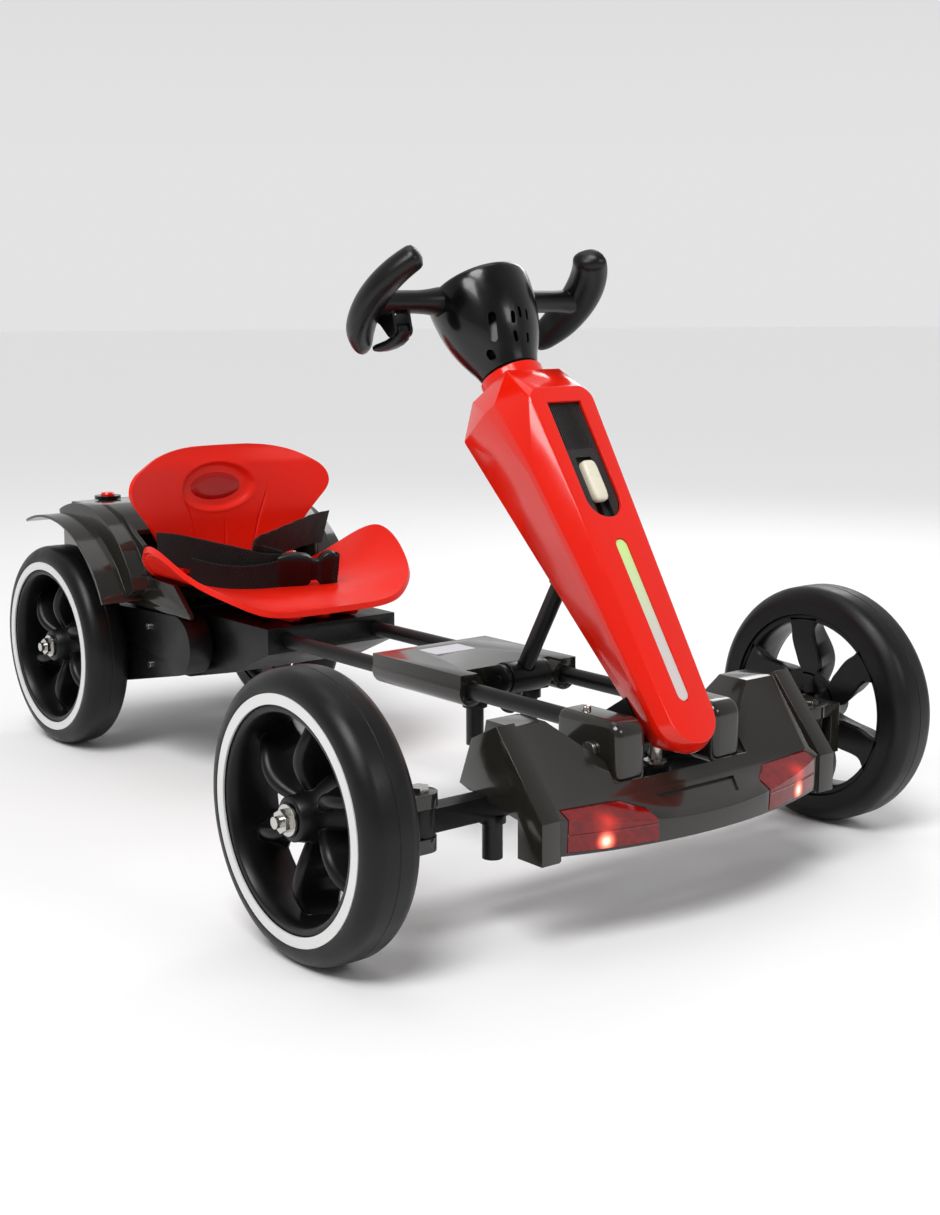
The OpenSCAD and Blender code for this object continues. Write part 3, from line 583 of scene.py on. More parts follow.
def rim_mesh():
    barrel = revolve(
        [
            (RIM_R - 0.1, -2.6), (RIM_R - 1.2, -1.9), (RIM_R - 5.2, -1.9), (RIM_R - 6.6, -3.2),
            (RIM_R - 8, -14), (RIM_R - 8.6, -26), (RIM_R - 8, -38), (RIM_R - 6.6, -48.8),
            (RIM_R - 5.2, -50), (RIM_R - 1.2, -50), (RIM_R - 0.1, -49.4),
        ]
    )
    boss = revolve(
        [
            (6.1, -3.4), (10.6, -3.4), (11.2, -6.5), (13.6, -6.5), (14.2, -5.6), (17, -5.6),
            (18.6, -7.2), (19.4, -18), (23, -27), (31, -37), (38, -46), (38, -49.6), (34, -50),
            (32, -50), (17, -44), (6.1, -44),
        ],
        64,
    )
    return merge(barrel, boss, *[blade(k) for k in range(SPOKES)])


FRONT_HALF_TRACK, REAR_HALF_TRACK = 338.0, 177.0
for side, word in ((1, "left"), (-1, "right")):
    for end, half_track, y in (
        ("front", FRONT_HALF_TRACK, FRONT_Y), ("rear", REAR_HALF_TRACK, REAR_Y)
    ):
        place = wheel(side, half_track, y)
        body = f"wheel_{end}_{word}"
        v, f = revolve(tyre_profile(), 160)
        make(f"tyre_skin_{end}_{word}", move(v, place), f, "tyre", body, [f"tyre_{end}_{word}"])
        v, f = rim_mesh()
        make(
            f"rim_skin_{end}_{word}", move(v, place), f, "rim_black", body, [f"rim_{end}_{word}"],
            angle=50,
        )


# ---------------------------------------------------------------- seat
HINGE_Y, HINGE_Z = REAR_Y - 142, 222.0
# half outline of the seat base, front to rear: half width, and y from the rear axle
SEAT_HALF = [
    (0, -359), (50, -358), (93, -349), (127, -322), (147, -280), (153, -236), (147, -198),
    (130, -172), (100, -152), (60, -147), (0, -146),
]
SEAT_Z, SEAT_MID_Y, SEAT_FLAT, SEAT_SIDE_R = 205.5, -250.0, 46, 127


def evenly(points, steps, count):
    """A number of points at even distances along the smooth curve through the given ones."""
    pts = curve(points, steps)
    lengths = np.cumsum([0] + [np.linalg.norm(b - a) for a, b in zip(pts, pts[1:])])
    even = np.linspace(0, lengths[-1], count)
    return list(zip(*[np.interp(even, lengths, [p[k] for p in pts]) for k in (0, 1)]))


def seat_outline():
    right = evenly(SEAT_HALF, 12, 61)
    return right + [(-x, y) for x, y in right[-2:0:-1]]


def seat_height(x, y):
    """Flat in the middle, curling up at the sides, less so in front, with a lip that drops."""
    side = max(abs(x) - SEAT_FLAT, 0)
    rise = SEAT_SIDE_R - math.sqrt(SEAT_SIDE_R**2 - side**2)
    rise *= 1 - 0.44 * ramp(-y, 212, 335)
    lip = -8.5 * ramp(-y, 304, 358) * (1 - ramp(abs(x), 80, 150))
    return SEAT_Z + rise + lip


def seat_base_mesh():
    """Rings from the middle of the seat to its edge, and a turned-down flange."""
    outline = seat_outline()
    rings = []
    for t in (0.0, 0.12, 0.25, 0.38, 0.5, 0.62, 0.73, 0.83, 0.91, 0.965, 1.0):
        ring = []
        for x, y in outline:
            qx, qy = x * t, SEAT_MID_Y + (y - SEAT_MID_Y) * t
            ring.append((qx, REAR_Y + qy, seat_height(qx, qy)))
        rings.append(ring)
    flange = []
    for (x, y), p in zip(outline, rings[-1]):
        d = np.array((x, y - SEAT_MID_Y))
        d = d / np.linalg.norm(d)
        flange.append((p[0] + d[0] * 1.6, p[1] + d[1] * 1.6, p[2] - 6.5))
    rings.append(flange)
    return bridge(rings, caps=False)


v, f = seat_base_mesh()
seat = make("seat_pan", v, f, "red_seat", "chassis", ["seat_base"])
thicken(seat, 0.0042, offset=-1, edge=0.0014, angle=50)


# three feet under the seat and two ears for its hinge pin
tabs = []
for x in (-40, -2, 36):
    profile = [(-300, 201), (-300, 185), (-310, 181), (-336, 181)]
    profile += arc(-336, 189, 8, -100, -180, 7) + [(-344, 193), (-328, 198)]
    tabs.append(slab(x - 5, x + 5, [(REAR_Y + y, z) for y, z in profile]))
for s in (-1, 1):
    ear = [(-153, 204), (-139, 204)] + arc(-142, 222, 9, -30, 180, 14) + [(-152, 214)]
    tabs.append(slab(s * 76 - 5, s * 76 + 5, [(REAR_Y + y, z) for y, z in ear]))
v, f = merge(*tabs)
mould(make("seat_tabs", v, f, "red_seat", "chassis"))


# half outline of the seat back: height over the hinge and half width
BACK_HALF = [
    (8, 70), (12, 81), (19, 88), (30, 93.5), (50, 106), (70, 122), (80, 130), (89, 134),
    (97, 133.6), (105, 130), (113, 122), (121, 108), (127, 94), (131.5, 77), (134.5, 58), (136, 38),
]
GROOVES = (-0.43, 0.0, 0.43)
BACK_R, BACK_AXIS_Y = 397, -382
OVAL_X, OVAL_Z, OVAL_HALF_W, OVAL_HALF_H, OVAL_SINK = -10, 91, 49, 27, 4.2


def back_columns():
    """Stations across the seat back, closer together beside each groove."""
    us = [u for u in np.linspace(-1, 1, 61) if min(abs(u - g) for g in GROOVES) > 0.024]
    for g in GROOVES:
        us += [g - 0.02, g - 0.011, g, g + 0.011, g + 0.02]
    return sorted(us)


def back_bow(x):
    """How far the bowed back lies behind the hinge line."""
    return BACK_AXIS_Y + math.sqrt(BACK_R**2 - x * x)


def back_depth(x, z, u):
    """The front face's distance behind the hinge line, with the oval and the grooves sunk in."""
    y = back_bow(x) + 5.0 * ramp(z, 112, 136)
    q = math.hypot((x - OVAL_X) / OVAL_HALF_W, (z - OVAL_Z) / OVAL_HALF_H)
    y += OVAL_SINK * (1 - ramp(q, 0.9, 1.0))
    y -= 0.8 * max(0, 1 - abs(q - 1.06) / 0.07)
    for g in GROOVES:
        near = max(0, 1 - abs(u - g) / 0.015)
        top = 56 if g == 0 else 92
        y += 1.7 * near * ramp(z, 12, 20) * (1 - ramp(z, top - 14, top))
    return y


cols, rows = back_columns(), evenly(BACK_HALF, 6, 74)
verts = []
for z, w in rows:
    for u in cols:
        x = u * w
        crown = 3.5 * ramp(z, 100, 136) * (1 - (x / 140) ** 2)
        verts.append((x, HINGE_Y + back_depth(x, z, u), HINGE_Z + z + crown - 1.5))
n = len(cols)
faces = [
    (i * n + j, i * n + j + 1, (i + 1) * n + j + 1, (i + 1) * n + j)
    for i in range(len(rows) - 1)
    for j in range(n - 1)
]
seat_back = make("seat_back_shell", verts, faces, "red_seat", "back_rest", ["seat_back"])
thicken(seat_back, 0.0052, offset=1, edge=0.0016, angle=60)

badge = []
for q, lift in ((0.0, 1.4), (0.6, 1.3), (0.9, 1.0), (1.0, 0.2), (1.0, -2.0)):
    ring = []
    for a in np.linspace(0, 2 * math.pi, 64, False):
        x, z = -11 + 34 * q * math.cos(a), 88 + 16 * q * math.sin(a)
        y = back_bow(x) + OVAL_SINK
        ring.append((x, HINGE_Y + y - lift, HINGE_Z + z + 2))
    badge.append(ring)
v, f = bridge(badge, caps=False)
make("seat_badge_blank", v, f, "red_badge", "back_rest", slot="red_seat")

lugs = []
for s in (-1, 1):
    ring = arc(HINGE_Y, HINGE_Z, 8.5, 50, 300, 18)
    ring += [(HINGE_Y + y, HINGE_Z + z) for y, z in ((17, -1), (17, 20), (7, 20))]
    lugs.append(slab(s * 62 - 7, s * 62 + 7, ring))
v, f = merge(*lugs)
mould(make("seat_back_lugs", v, f, "red_seat", "back_rest"))


# ---------------------------------------------------------------- belt
def strap(points, width=34.0, thick=1.5, lean=18.0, steps=14, twist=None):
    """Flat webbing along a curve, standing on its edge, with a rolled selvage, and its UVs."""
    path = curve(points, steps)
    rings, rows_uv, along = [], [], 0.0
    for i, p in enumerate(path):
        a, b = path[max(i - 1, 0)], path[min(i + 1, len(path) - 1)]
        t = (b - a) / np.linalg.norm(b - a)
        turn = lean + (twist(i / (len(path) - 1)) if twist else 0)
        up = np.array((0, -math.sin(math.radians(turn)), math.cos(math.radians(turn))))
        up = up - t * up.dot(t)
        up /= np.linalg.norm(up)
        out = np.cross(t, up)
        ripple = 0.5 * math.sin(i * 0.55)
        ring = []
        half, h = width / 2, thick / 2
        along += np.linalg.norm(p - a)
        rows_uv.append(along)
        for s, d in (
            (-half, -h * 0.4), (-half + 1, -h * 1.25), (-half + 2.4, -h), (0, -h), (half - 2.4, -h),
            (half - 1, -h * 1.25), (half, -h * 0.4), (half, h * 0.4), (half - 1, h * 1.25),
            (half - 2.4, h), (0, h), (-half + 2.4, h), (-half + 1, h * 1.25), (-half, h * 0.4),
        ):
            ring.append(p + up * s + out * (d + ripple * math.cos(s / 9)))
        rings.append(ring)
    v, f = bridge(rings)
    across = [-half, -half + 1, -half + 2.4, 0, half - 2.4, half - 1, half]
    across += across[::-1]
    return v, f, [(u, s) for u in rows_uv for s in across]


def weave_uv(o, uv):
    """UV map in millimetres along and across a strap."""
    me = o.data
    layer = me.uv_layers.new(name="weave")
    for loop in me.loops:
        layer.data[loop.index].uv = uv[loop.vertex_index]


def web(name, points, replaces=(), place=None, **kw):
    """A run of belt along points, with its weave."""
    place = place or (lambda x, y, z: (x, y, z))
    v, f, uv = strap(points, **kw)
    weave_uv(make(name, move(v, place), f, "webbing", "chassis", replaces, weld=False), uv)


def from_axle(points):
    """Points given from the rear axle, in the CAD frame."""
    return [(x, REAR_Y + y, z) for x, y, z in points]


web(
    "belt_near",
    from_axle([
        (-106, -154, 248), (-92, -176, 247), (-70, -205, 241), (-46, -230, 234),
        (-26, -246, 228), (-8, -254, 226),
    ]),
    ["belt_right"],
    width=40,
)
web(
    "belt_near_tail",
    from_axle([
        (-90, -198, 224), (-72, -220, 218), (-48, -239, 215), (-26, -251, 217), (-8, -256, 220),
    ]),
    width=38,
)
web(
    "belt_far",
    from_axle([
        (122, -158, 256), (94, -170, 256), (60, -188, 254), (24, -207, 251), (-6, -223, 248),
        (-26, -233, 246), (-33, -238.5, 241), (-26, -243, 236), (-8, -249, 229),
    ]),
    ["belt_left"],
    width=42,
    twist=lambda t: 10 * math.sin(math.pi * t),
)


BUCKLE_LONG, BUCKLE_WIDE, BUCKLE_TILT, BUCKLE_TURN = 1.5, 1.26, 20, -18
BUCKLE_MID = (25, REAR_Y - 262, 224)


def buckle_place(x, y, z):
    """Stretches the buckle, leans it back, turns it toward the front and puts it on the seat."""
    k = BUCKLE_WIDE
    c, s = math.cos(math.radians(BUCKLE_TILT)), math.sin(math.radians(BUCKLE_TILT))
    x, y, z = BUCKLE_LONG * x, k * (y * c - z * s), k * (y * s + z * c)
    c, s = math.cos(math.radians(BUCKLE_TURN)), math.sin(math.radians(BUCKLE_TURN))
    bx, by, bz = BUCKLE_MID
    return (bx + x * c - y * s, by + x * s + y * c, bz + z)


def pebble(stations, power=0.4):
    """Loft along x of rounded boxes: (x, half width, half thickness)."""
    turn = [2 * math.pi * k / 40 for k in range(40)]
    rings = []
    for x, w, t in stations:
        rings.append([
            (x, swell(math.sin(a), power) * t, swell(math.cos(a), power) * w) for a in turn
        ])
    return bridge(rings)


v, f = pebble(
    [(-25, 13, 3.4), (-24.2, 15.2, 4.8), (-22, 16.4, 5.4), (-15, 17.3, 6.1), (-6, 17.0, 6.1),
     (-1, 15.8, 5.8), (2.2, 13.8, 5.4), (3.4, 12.4, 4.6), (3.6, 10.6, 3.6), (8, 10.2, 3.6),
     (9.4, 11.4, 4.4), (11.5, 14.6, 5.2), (15, 17.2, 5.4), (18, 17.8, 5.1), (20.6, 17.2, 4.6),
     (22.2, 15.4, 3.8)]
)
make("buckle_body", move(v, buckle_place), f, "black_plastic", "chassis", ["buckle"], angle=50)
bend = np.radians(np.linspace(-100, 100, 15))
loop = [(20.5 + 4.6 * math.cos(a), 3.6 * math.sin(a), 0) for a in bend]
web("buckle_loop", loop, place=buckle_place, width=30, lean=0, steps=3)


# ---------------------------------------------------------------- column cover
def hull(name, points, mat, body, **kw):
    """A piece in the shape of the convex hull of points."""
    o = make(name, points, [], mat, body, **kw)
    bm = bmesh.new()
    for p in points:
        bm.verts.new([c * MM for c in p])
    bmesh.ops.remove_doubles(bm, verts=bm.verts, dist=1e-5)
    res = bmesh.ops.convex_hull(bm, input=bm.verts)
    spare = set(res["geom_interior"] + res["geom_unused"])
    gone = [g for g in spare if isinstance(g, bmesh.types.BMVert)]
    bmesh.ops.delete(bm, geom=gone, context="VERTS")
    bmesh.ops.dissolve_limit(bm, angle_limit=math.radians(1.5), verts=bm.verts, edges=bm.edges)
    bmesh.ops.recalc_face_normals(bm, faces=bm.faces)
    bm.to_mesh(o.data)
    bm.free()
    return o


def corners(x0, x1, y0, y1, z0, z1):
    return [(x, y, z) for x in (x0, x1) for y in (y0, y1) for z in (z0, z1)]


def disc_y(r, y, z):
    turn = np.linspace(0, 2 * math.pi, 48, False)
    return [(r * math.cos(a), y, z + r * math.sin(a)) for a in turn]


def shroud_points(d):
    """Corners and round ends of the column cover, shrunk by d for its inside."""
    pts = disc_y(27 - d, -51 + d, 2) + disc_y(33 - d, -40 + d, 4) + disc_y(33 - d, -34 + d, 4)
    pts += corners(-24 + d, 24 - d, -20, -16 - d, -12, 18)
    for x in (-23, 23):
        pts += [(x + p[0], p[1], p[2]) for p in disc_y(14 - d, -51 + d, 308)]
    for x in (-25, 25):
        pts += [(x + p[0], p[1], p[2]) for p in disc_y(14 - d, -49 + d, 309)]
    pts += corners(-50 + d, 50 - d, -32, -26, 250, 251)
    pts += corners(-46 + d, 46 - d, -14, 2, 326 - d, 327 - d)
    pts += corners(-36 + d, 36 - d, 30, 54 - d, 324 - d, 326 - d)
    pts += corners(-32 + d, 32 - d, -30, 28, 352 - d, 353 - d)
    return [column(*p) for p in pts]


def tool(name, v, f, place=column):
    """Cutter whose points a function places in the CAD frame."""
    return solid(name, [place(*p) for p in v], f)


def subtract(o, *cutters):
    """Cuts tools out of a piece and removes them."""
    for c in cutters:
        modify(o, "BOOLEAN", operation="DIFFERENCE", object=c, solver="EXACT")
    bake(o)
    for c in cutters:
        bpy.data.objects.remove(c)


def box_tool(name, x0, x1, y0, y1, z0, z1):
    return tool(name, *prism([(x0, z0), (x1, z0), (x1, z1), (x0, z1)], y0, y1))


SHROUD_WALL = 3.2
shroud = hull("column_cover", shroud_points(0), "red_gloss", "column", replaces=["column_shroud"])
bevel(shroud, 0.0036, 11, segments=4)
bake(shroud)
inner = hull("inner", shroud_points(SHROUD_WALL), "red_gloss", "column")
v, f = revolve([(0, 349), (30, 349), (30, 362.5), (29, 363.8), (27.5, 364), (0, 364)], 96)
collar = tool("collar", v, f)
modify(shroud, "BOOLEAN", operation="UNION", object=collar, solver="EXACT")
bake(shroud)
bpy.data.objects.remove(collar)
bore = revolve([(0, 330), (26.2, 330), (26.2, 380), (0, 380)], 96)
panel = [(20.2, 307), (-20.2, 307)] + arc(0, 210, 20.2, 180, 360, 30)
strip = arc(0, 162, 6.9, 0, 180, 20) + arc(0, 20, 6.9, 180, 360, 20)
subtract(
    shroud,
    inner,
    tool("bore", *bore),
    tool("panel", *prism(panel, -60, -46)),
    tool("strip", *prism(strip, -53, -48)),
    box_tool("slot", -19.8, 19.8, -18, 62, -60, 198),
    box_tool("foot", -31, 31, -15, 25, -30, 36),
)
smooth(shroud, 28)


def refine(node, width):
    """A copy of a CAD node, flat faces merged and edges rounded, which stands for it."""
    src = nodes[node]
    me = src.data.copy()
    bm = bmesh.new()
    bm.from_mesh(me)
    bmesh.ops.remove_doubles(bm, verts=bm.verts, dist=2e-6)
    bmesh.ops.dissolve_limit(bm, angle_limit=math.radians(0.6), verts=bm.verts, edges=bm.edges)
    bm.normal_update()
    sharp = [
        e for e in bm.edges if len(e.link_faces) == 2 and e.calc_face_angle(0) > math.radians(30)
    ]
    bmesh.ops.bevel(
        bm, geom=sharp, offset=width * MM, segments=3, profile=0.5, affect="EDGES",
        clamp_overlap=True,
    )
    bm.to_mesh(me)
    bm.free()
    o = add_object(node + "_moulded", me)
    dress(o, slots[node])
    if me.attributes.get("custom_normal"):
        me.attributes.remove(me.attributes["custom_normal"])
    smooth(o, 40)
    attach(o, src["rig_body"])
    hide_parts(node)
    return o


# edge radius in millimetres of each moulded or cast part
for node, width in (
    ("nose_cover", 1.8), ("cross_plate", 2.0), ("rear_box", 1.6),
    ("gear_case", 1.6), ("rear_cover", 1.2), ("knuckle_left", 1.4), ("knuckle_right", 1.4),
    ("front_beam", 1.0), ("cross_bracket", 1.2), ("strut_clamp", 1.0),
):
    refine(node, width)
# sunk panel in the middle of the sloping nose, its points on the slope and its depth below it
SLOPE = math.radians(26.6)
panel = [(-47, 9), (-37, -9), (37, -9), (47, 9)]


def on_slope(x, y, h):
    c, s = math.cos(SLOPE), math.sin(SLOPE)
    return (x, FRONT_Y - 129 + y * c - h * s, 111.5 + y * s + h * c)


v, f = extrude([(x, y, -2.2) for x, y in panel], [(x, y, 4) for x, y in panel])
nose = bpy.data.objects["nose_cover_moulded"]
subtract(nose, tool("nose_panel", v, f, on_slope))
smooth(nose, 40)

# tube sockets: rounded cheeks on a cross plate, each with a screw on top
cheek = [(-104, 122)] + arc(-90, 163, 14, 180, 90, 10) + [(-26, 177), (-26, 122)]
cheek = [(FRONT_Y + y, z) for y, z in cheek]
v, f = merge(*[slab(s * 58.5 - 17.5, s * 58.5 + 17.5, cheek) for s in (-1, 1)])
socket = make("socket_cheeks", v, f, "cover_grey", "chassis", ["front_socket"])
bevel(socket, 0.0075, 35, segments=5)
bake(socket)
bores = []
for s in (-1, 1):
    v, f = slab(0, 94, arc(s * 58, 165, 8.05, 0, 352, 44))
    bores.append(tool(f"socket_bore_{s}", v, f, lambda d, x, z: (x, FRONT_Y - 97 + d, z)))
v, f = slab(-90, 90, arc(FOLD[1], FOLD[2], 5.1, 0, 350, 36))
bores.append(tool("socket_pin_bore", v, f, lambda x, y, z: (x, y, z)))
subtract(socket, *bores)
smooth(socket, 38)
bridge_pts = corners(-42, 42, FRONT_Y - 54, FRONT_Y - 14, 122, 128)
hull("socket_bridge", bridge_pts, "cover_grey", "chassis")
screws = []
for s in (-1, 1):
    v, f = revolve([(0, 0), (4.5, 0), (4.5, 2.6), (3.6, 4.2), (1.8, 4.8), (0, 5)], 36)
    screws.append(([(s * 60 + x, FRONT_Y - 48 + y, 176 + z) for x, y, z in v], f))
v, f = merge(*screws)
make("socket_screws", v, f, "zinc_steel", "chassis", slot="cover_grey")

# slide button: a rounded pill
v, f = pebble([(-20, 4, 2.4), (-19.2, 6, 3.8), (-17, 7.4, 4.8), (-12, 8, 5.3), (12, 8, 5.3),
               (17, 7.4, 4.8), (19.2, 6, 3.8), (20, 4, 2.4)], 0.55)
pill = [column(q, -47.7 + y, 227 + x) for x, y, q in v]
make("slide_button_pill", pill, f, "ivory", "selector", ["slide_button"])
v, f = prism(arc(0, 161.6, 6.6, 0, 180, 20) + arc(0, 20.4, 6.6, 180, 360, 20), -49.6, -46)
make("light_strip_lens", move(v, column), f, "diffuser", "column", ["light_strip"])


# ---------------------------------------------------------------- steering head
# each grip is a bar bent to GRIP_R about a point GRIP_X from the hub's axis, through GRIP_ARC
GRIP_X, GRIP_R, GRIP_ARC, GRIP_LEAN = 39, 87.0, (-41.0, 38.0), math.radians(-12)
ARM_Z = 82
# (distance from the hub's axis, radius) along the arm of a grip
ARM = (
    (40, 14.5), (48, 14), (56, 12.6), (64, 11.6), (74, 11), (96, 11), (106, 11.6), (114, 12.4),
    (120, 12.6),
)
LEVER_X, LEVER_Y, LEVER_Z = -96, 14, 58
# (x, y, z, half width, half depth, tilt in degrees) along the finger lever
LEVER = (
    (-96, 8.6, 58, 5.4, 2.4, 90),
    (-96, 10, 54, 6.6, 4.6, 50),
    (-96, 14, 51.6, 7.2, 6.0, 10),
    (-96.4, 21, 51, 7.2, 5.4, 0),
    (-97.6, 30, 52.4, 7.2, 4.8, -8),
    (-99.6, 38, 54.8, 7.0, 4.4, -14),
    (-100.8, 43, 56.8, 6.4, 3.8, -18),
    (-101.6, 46.5, 58.4, 5.0, 2.8, -22),
    (-102, 48.5, 59.4, 2.8, 1.4, -24),
)


def grip_mesh(side):
    """Blade grip: a flattened, curved bar that narrows to a blunt point at its lower end."""
    rings = []
    cl, sl = math.cos(GRIP_LEAN), math.sin(GRIP_LEAN)
    for t in np.linspace(0, 1, 44):
        a = math.radians(GRIP_ARC[0] - 3 + (GRIP_ARC[1] - GRIP_ARC[0] + 7) * t)
        end = min(t / 0.06, (1 - t) / 0.12, 1)
        cap = math.sqrt(max(0.0, 1 - (1 - end) ** 2))
        wide = (14.2 + 2.4 * math.sin(math.pi * t)) * (0.42 + 0.58 * cap)
        deep = (12.2 + 1.8 * math.sin(math.pi * min(t * 1.15, 1))) * (0.4 + 0.6 * cap)
        wide *= 1 - 0.3 * ramp(t, 0.7, 1)
        ring = []
        for k in range(28):
            w = 2 * math.pi * k / 28
            u = swell(math.cos(w), 0.8) * wide
            d = swell(math.sin(w), 0.9) * deep
            d -= 0.27 * u
            x = side * (GRIP_X + (GRIP_R + u) * math.cos(a))
            y = 4 + (GRIP_R + u) * math.sin(a)
            ring.append((x, y * cl - d * sl, ARM_Z + y * sl + d * cl))
        rings.append(ring)
    return bridge(rings)


def arm_mesh(side):
    turn = np.linspace(0, 2 * math.pi, 40, False)
    rings = []
    for x, r in ARM:
        rings.append([
            (side * x, 5 + r * math.cos(a), ARM_Z + 0.96 * r * math.sin(a)) for a in turn
        ])
    return bridge(rings)


def lever_disc(half, r, to, n):
    """Round part of the lever's pivot, in the frame of the head."""
    return slab(LEVER_X - half, LEVER_X + half, arc(LEVER_Y, LEVER_Z, r, 0, to, n))


for side, word in ((1, "left"), (-1, "right")):
    parts = [grip_mesh(side), arm_mesh(side)]
    if side < 0:
        ear = arc(LEVER_Y, LEVER_Z, 7, 180, 350, 14) + [(25, 70), (30, 78), (0, 78), (3, 70)]
        parts += [slab(LEVER_X + x - 1.4, LEVER_X + x + 1.4, ear) for x in (-8.8, 8.8)]
        parts.append(lever_disc(9, 1.95, 345, 24))
    v, f = merge(*parts)
    make(
        f"grip_skin_{word}", move(v, head), f, "black_plastic", "steering_head",
        [f"grip_{word}"], angle=55,
    )

rings = []
for x, y, z, wide, deep, tilt in LEVER:
    ct, st = math.cos(math.radians(tilt)), math.sin(math.radians(tilt))
    ring = []
    for a in np.linspace(0, 2 * math.pi, 26, False):
        u = swell(math.cos(a), 0.6) * wide
        d = swell(math.sin(a), 0.7) * deep
        ring.append((x + u, y + d * st, z + d * ct))
    rings.append(ring)
v, f = merge(bridge(rings), lever_disc(7.2, 5.6, 350, 36))
lever_body = nodes["throttle_trigger"]["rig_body"]
make("trigger_skin", move(v, head), f, "black_plastic", lever_body, ["throttle_trigger"])

# (radius, height) profile of the hub
HUB = [
    (0, 0.5), (27.4, 0.5), (28.4, 3), (30.4, 9), (34.8, 18), (39.8, 29), (43.8, 40), (46.6, 51),
    (48.4, 62), (49.5, 73), (50, 82), (49.8, 87), (49.1, 90), (47.9, 91.6), (46.4, 92.3),
    (40, 93.4), (26, 95), (12, 95.8), (0, 96),
]
v, f = revolve(HUB, 128)
hub = make("hub_skin", move(v, head), f, "black_gloss", "steering_head", ["steering_hub"], angle=32)


# angle round the hub, height, length, width, lean and depth of each slot in its wall
VENTS = (
    (-42, 33, 19, 7, -17, 14),
    (-13, 36, 7, 4.4, -8, 12),
    (-2, 40, 7, 3.6, 2, 9),
    (9, 38, 7, 3.0, 4, 9),
    (-14, 20, 6, 3.8, 4, 20),
    (8, 18, 6, 3.2, 4, 20),
    (-62, 12, 1.5, 8, 0, 24),
)


def vent(name, az, z, length, width, lean, depth):
    """Cutter for a rounded slot in the hub wall."""
    outline = arc(0, length / 2, width / 2, 0, 180, 10)
    outline += arc(0, -length / 2, width / 2, 180, 360, 10)
    v, f = prism(outline, -70, -46 + depth)
    ca, sa = math.cos(math.radians(az)), math.sin(math.radians(az))
    cl, sl = math.cos(math.radians(lean)), math.sin(math.radians(lean))

    def place(x, y, q):
        x, q = x * cl - q * sl, x * sl + q * cl
        return head(x * ca - y * sa, x * sa + y * ca, z + q)

    return tool(name, v, f, place)


subtract(hub, *[vent(f"vent_{k}", *row) for k, row in enumerate(VENTS)])
smooth(hub, 32)


# ---------------------------------------------------------------- stage
bpy.ops.mesh.primitive_plane_add(size=90, location=(0, 0, 0))
floor = bpy.context.object
floor.name = "floor"
floor_mat, _, shader = new_mat("floor_white")
shader.inputs["Base Color"].default_value = (0.9, 0.9, 0.9, 1)
shader.inputs["Specular IOR Level"].default_value = 0.2
shader.inputs["Roughness"].default_value = 0.75
floor.data.materials.append(floor_mat)

# a studio that is bright low down and beyond the object, and dimmer on the near side
world = bpy.data.worlds.new("studio")
scene.world = world
world.use_nodes = True
wnt = world.node_tree
way = axes(wnt, add(wnt, "ShaderNodeTexCoord").outputs["Generated"])
ahead = math_node(
    wnt, "ADD", math_node(wnt, "MULTIPLY", way.outputs["X"], 0.57),
    math_node(wnt, "MULTIPLY", way.outputs["Y"], 0.82),
)
height = remap(wnt, way.outputs["Z"], 0, 1, 0.08, 0.9)
high = mix(wnt, height, (0.81, 0.81, 0.81), (0.5, 0.5, 0.51))
shade = mix(wnt, remap(wnt, ahead, 0, 1, -0.6, 0.5), (0.33, 0.33, 0.335), (1, 1, 1))
both = add(wnt, "ShaderNodeMix", data_type="RGBA", blend_type="MULTIPLY")
both.inputs["Factor"].default_value = 1.0
link(wnt, high, both.inputs["A"])
link(wnt, shade, both.inputs["B"])
link(wnt, both.outputs["Result"], wnt.nodes["Background"].inputs["Color"])
wnt.nodes["Background"].inputs["Strength"].default_value = 0.95


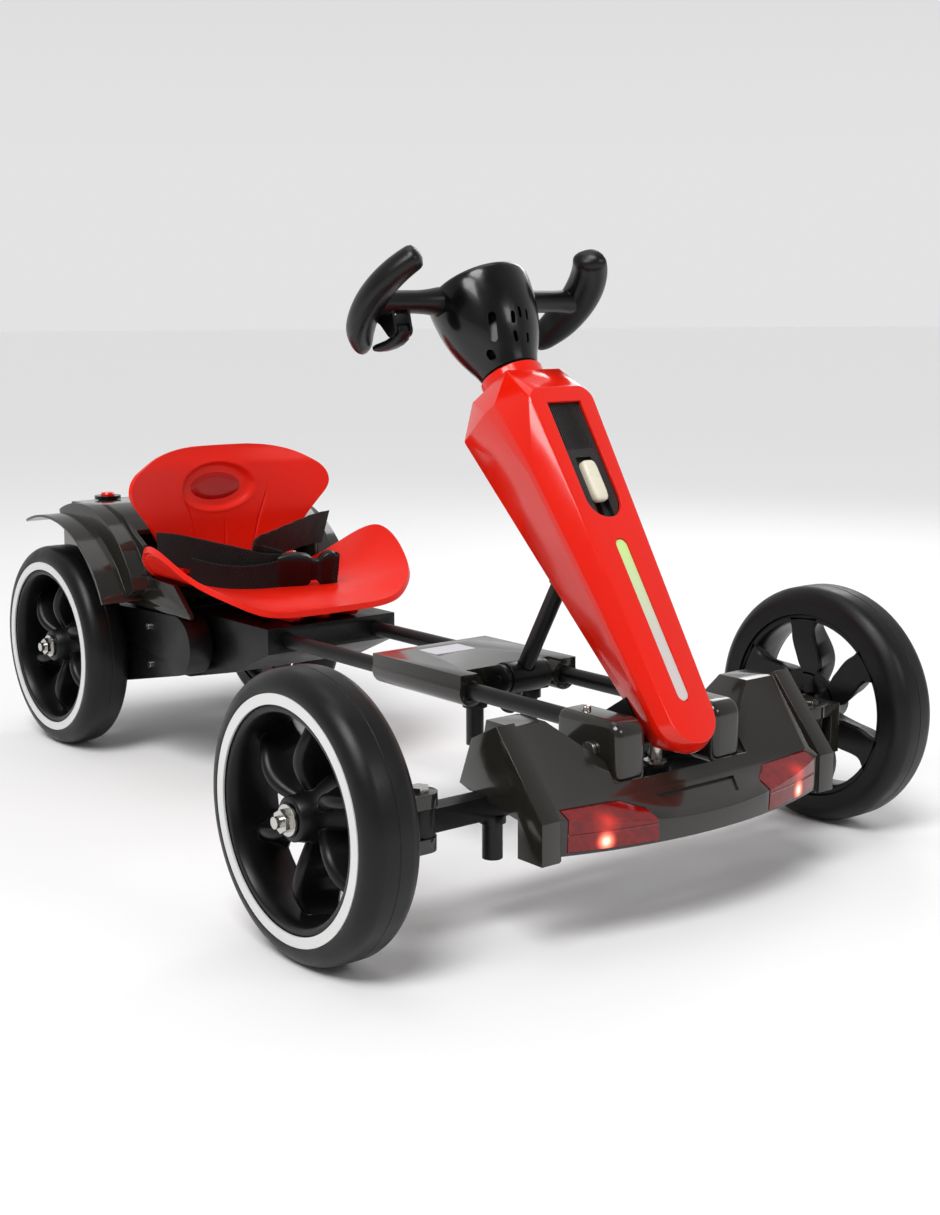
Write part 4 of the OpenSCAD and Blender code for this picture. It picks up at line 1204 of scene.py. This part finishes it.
def area(name, loc, target, size, power, size_y=None):
    """Soft light of a width and height in metres and a power in watts, aimed at a point."""
    d = bpy.data.lights.new(name, "AREA")
    d.energy = power
    d.shape = "RECTANGLE"
    d.size = size
    d.size_y = size_y or size
    o = add_object(name, d)
    o.location = loc
    o.rotation_euler = (Vector(target) - Vector(loc)).to_track_quat("-Z", "Y").to_euler()


sun_d = bpy.data.lights.new("sun", "SUN")
sun_d.energy = 1.6
sun_d.angle = math.radians(24)
sun = add_object("sun", sun_d)
sun.rotation_euler = Vector((0.42, 0.3, -0.85)).to_track_quat("-Z", "Y").to_euler()
area("key", (-1.9, -0.9, 2.0), (0, 0, 0.25), 0.9, 17, 0.6)
area("front", (0.4, -2.4, 1.5), (0, -0.1, 0.25), 1.0, 9, 0.5)
area("rim", (1.9, 0.9, 1.6), (0, 0.1, 0.2), 0.7, 10, 1.2)
area("top", (0.0, 0.2, 2.8), (0, 0, 0.1), 1.6, 8)
scene.view_settings.view_transform = "Standard"
scene.view_settings.look = "None"

# ---------------------------------------------------------------- camera
# the photograph's view: its size and optical centre in pixels of a 940 x 1215 picture
PICTURE_H, FOCAL, CENTRE_X, CENTRE_Y = 1215, 1682.56, 446.69, 604.82
CAMERA_AT = (-1.02118, -1.45862, 0.51434)
YAW, PITCH, ROLL = (math.radians(a) for a in (-37.9968, 9.8891, -0.3068))
cam_d = bpy.data.cameras.new("cam")
cam = add_object("cam", cam_d)
scene.camera = cam
behind = Vector(
    (math.sin(YAW) * math.cos(PITCH), -math.cos(YAW) * math.cos(PITCH), math.sin(PITCH))
)
right = (-behind).cross(Vector((0, 0, 1))).normalized()
up = right.cross(-behind)
rolled_right = right * math.cos(ROLL) + up * math.sin(ROLL)
rolled_up = -right * math.sin(ROLL) + up * math.cos(ROLL)
turn = Matrix((rolled_right, rolled_up, behind)).transposed()
cam.matrix_world = Matrix.Translation(CAMERA_AT) @ turn.to_4x4()
cam_d.sensor_fit = "AUTO"
cam_d.sensor_width = 36
cam_d.lens = FOCAL / PICTURE_H * 36
cam_d.shift_x = (470 - CENTRE_X) / PICTURE_H
cam_d.shift_y = (CENTRE_Y - 607.5) / PICTURE_H
cam_d.clip_end = 50
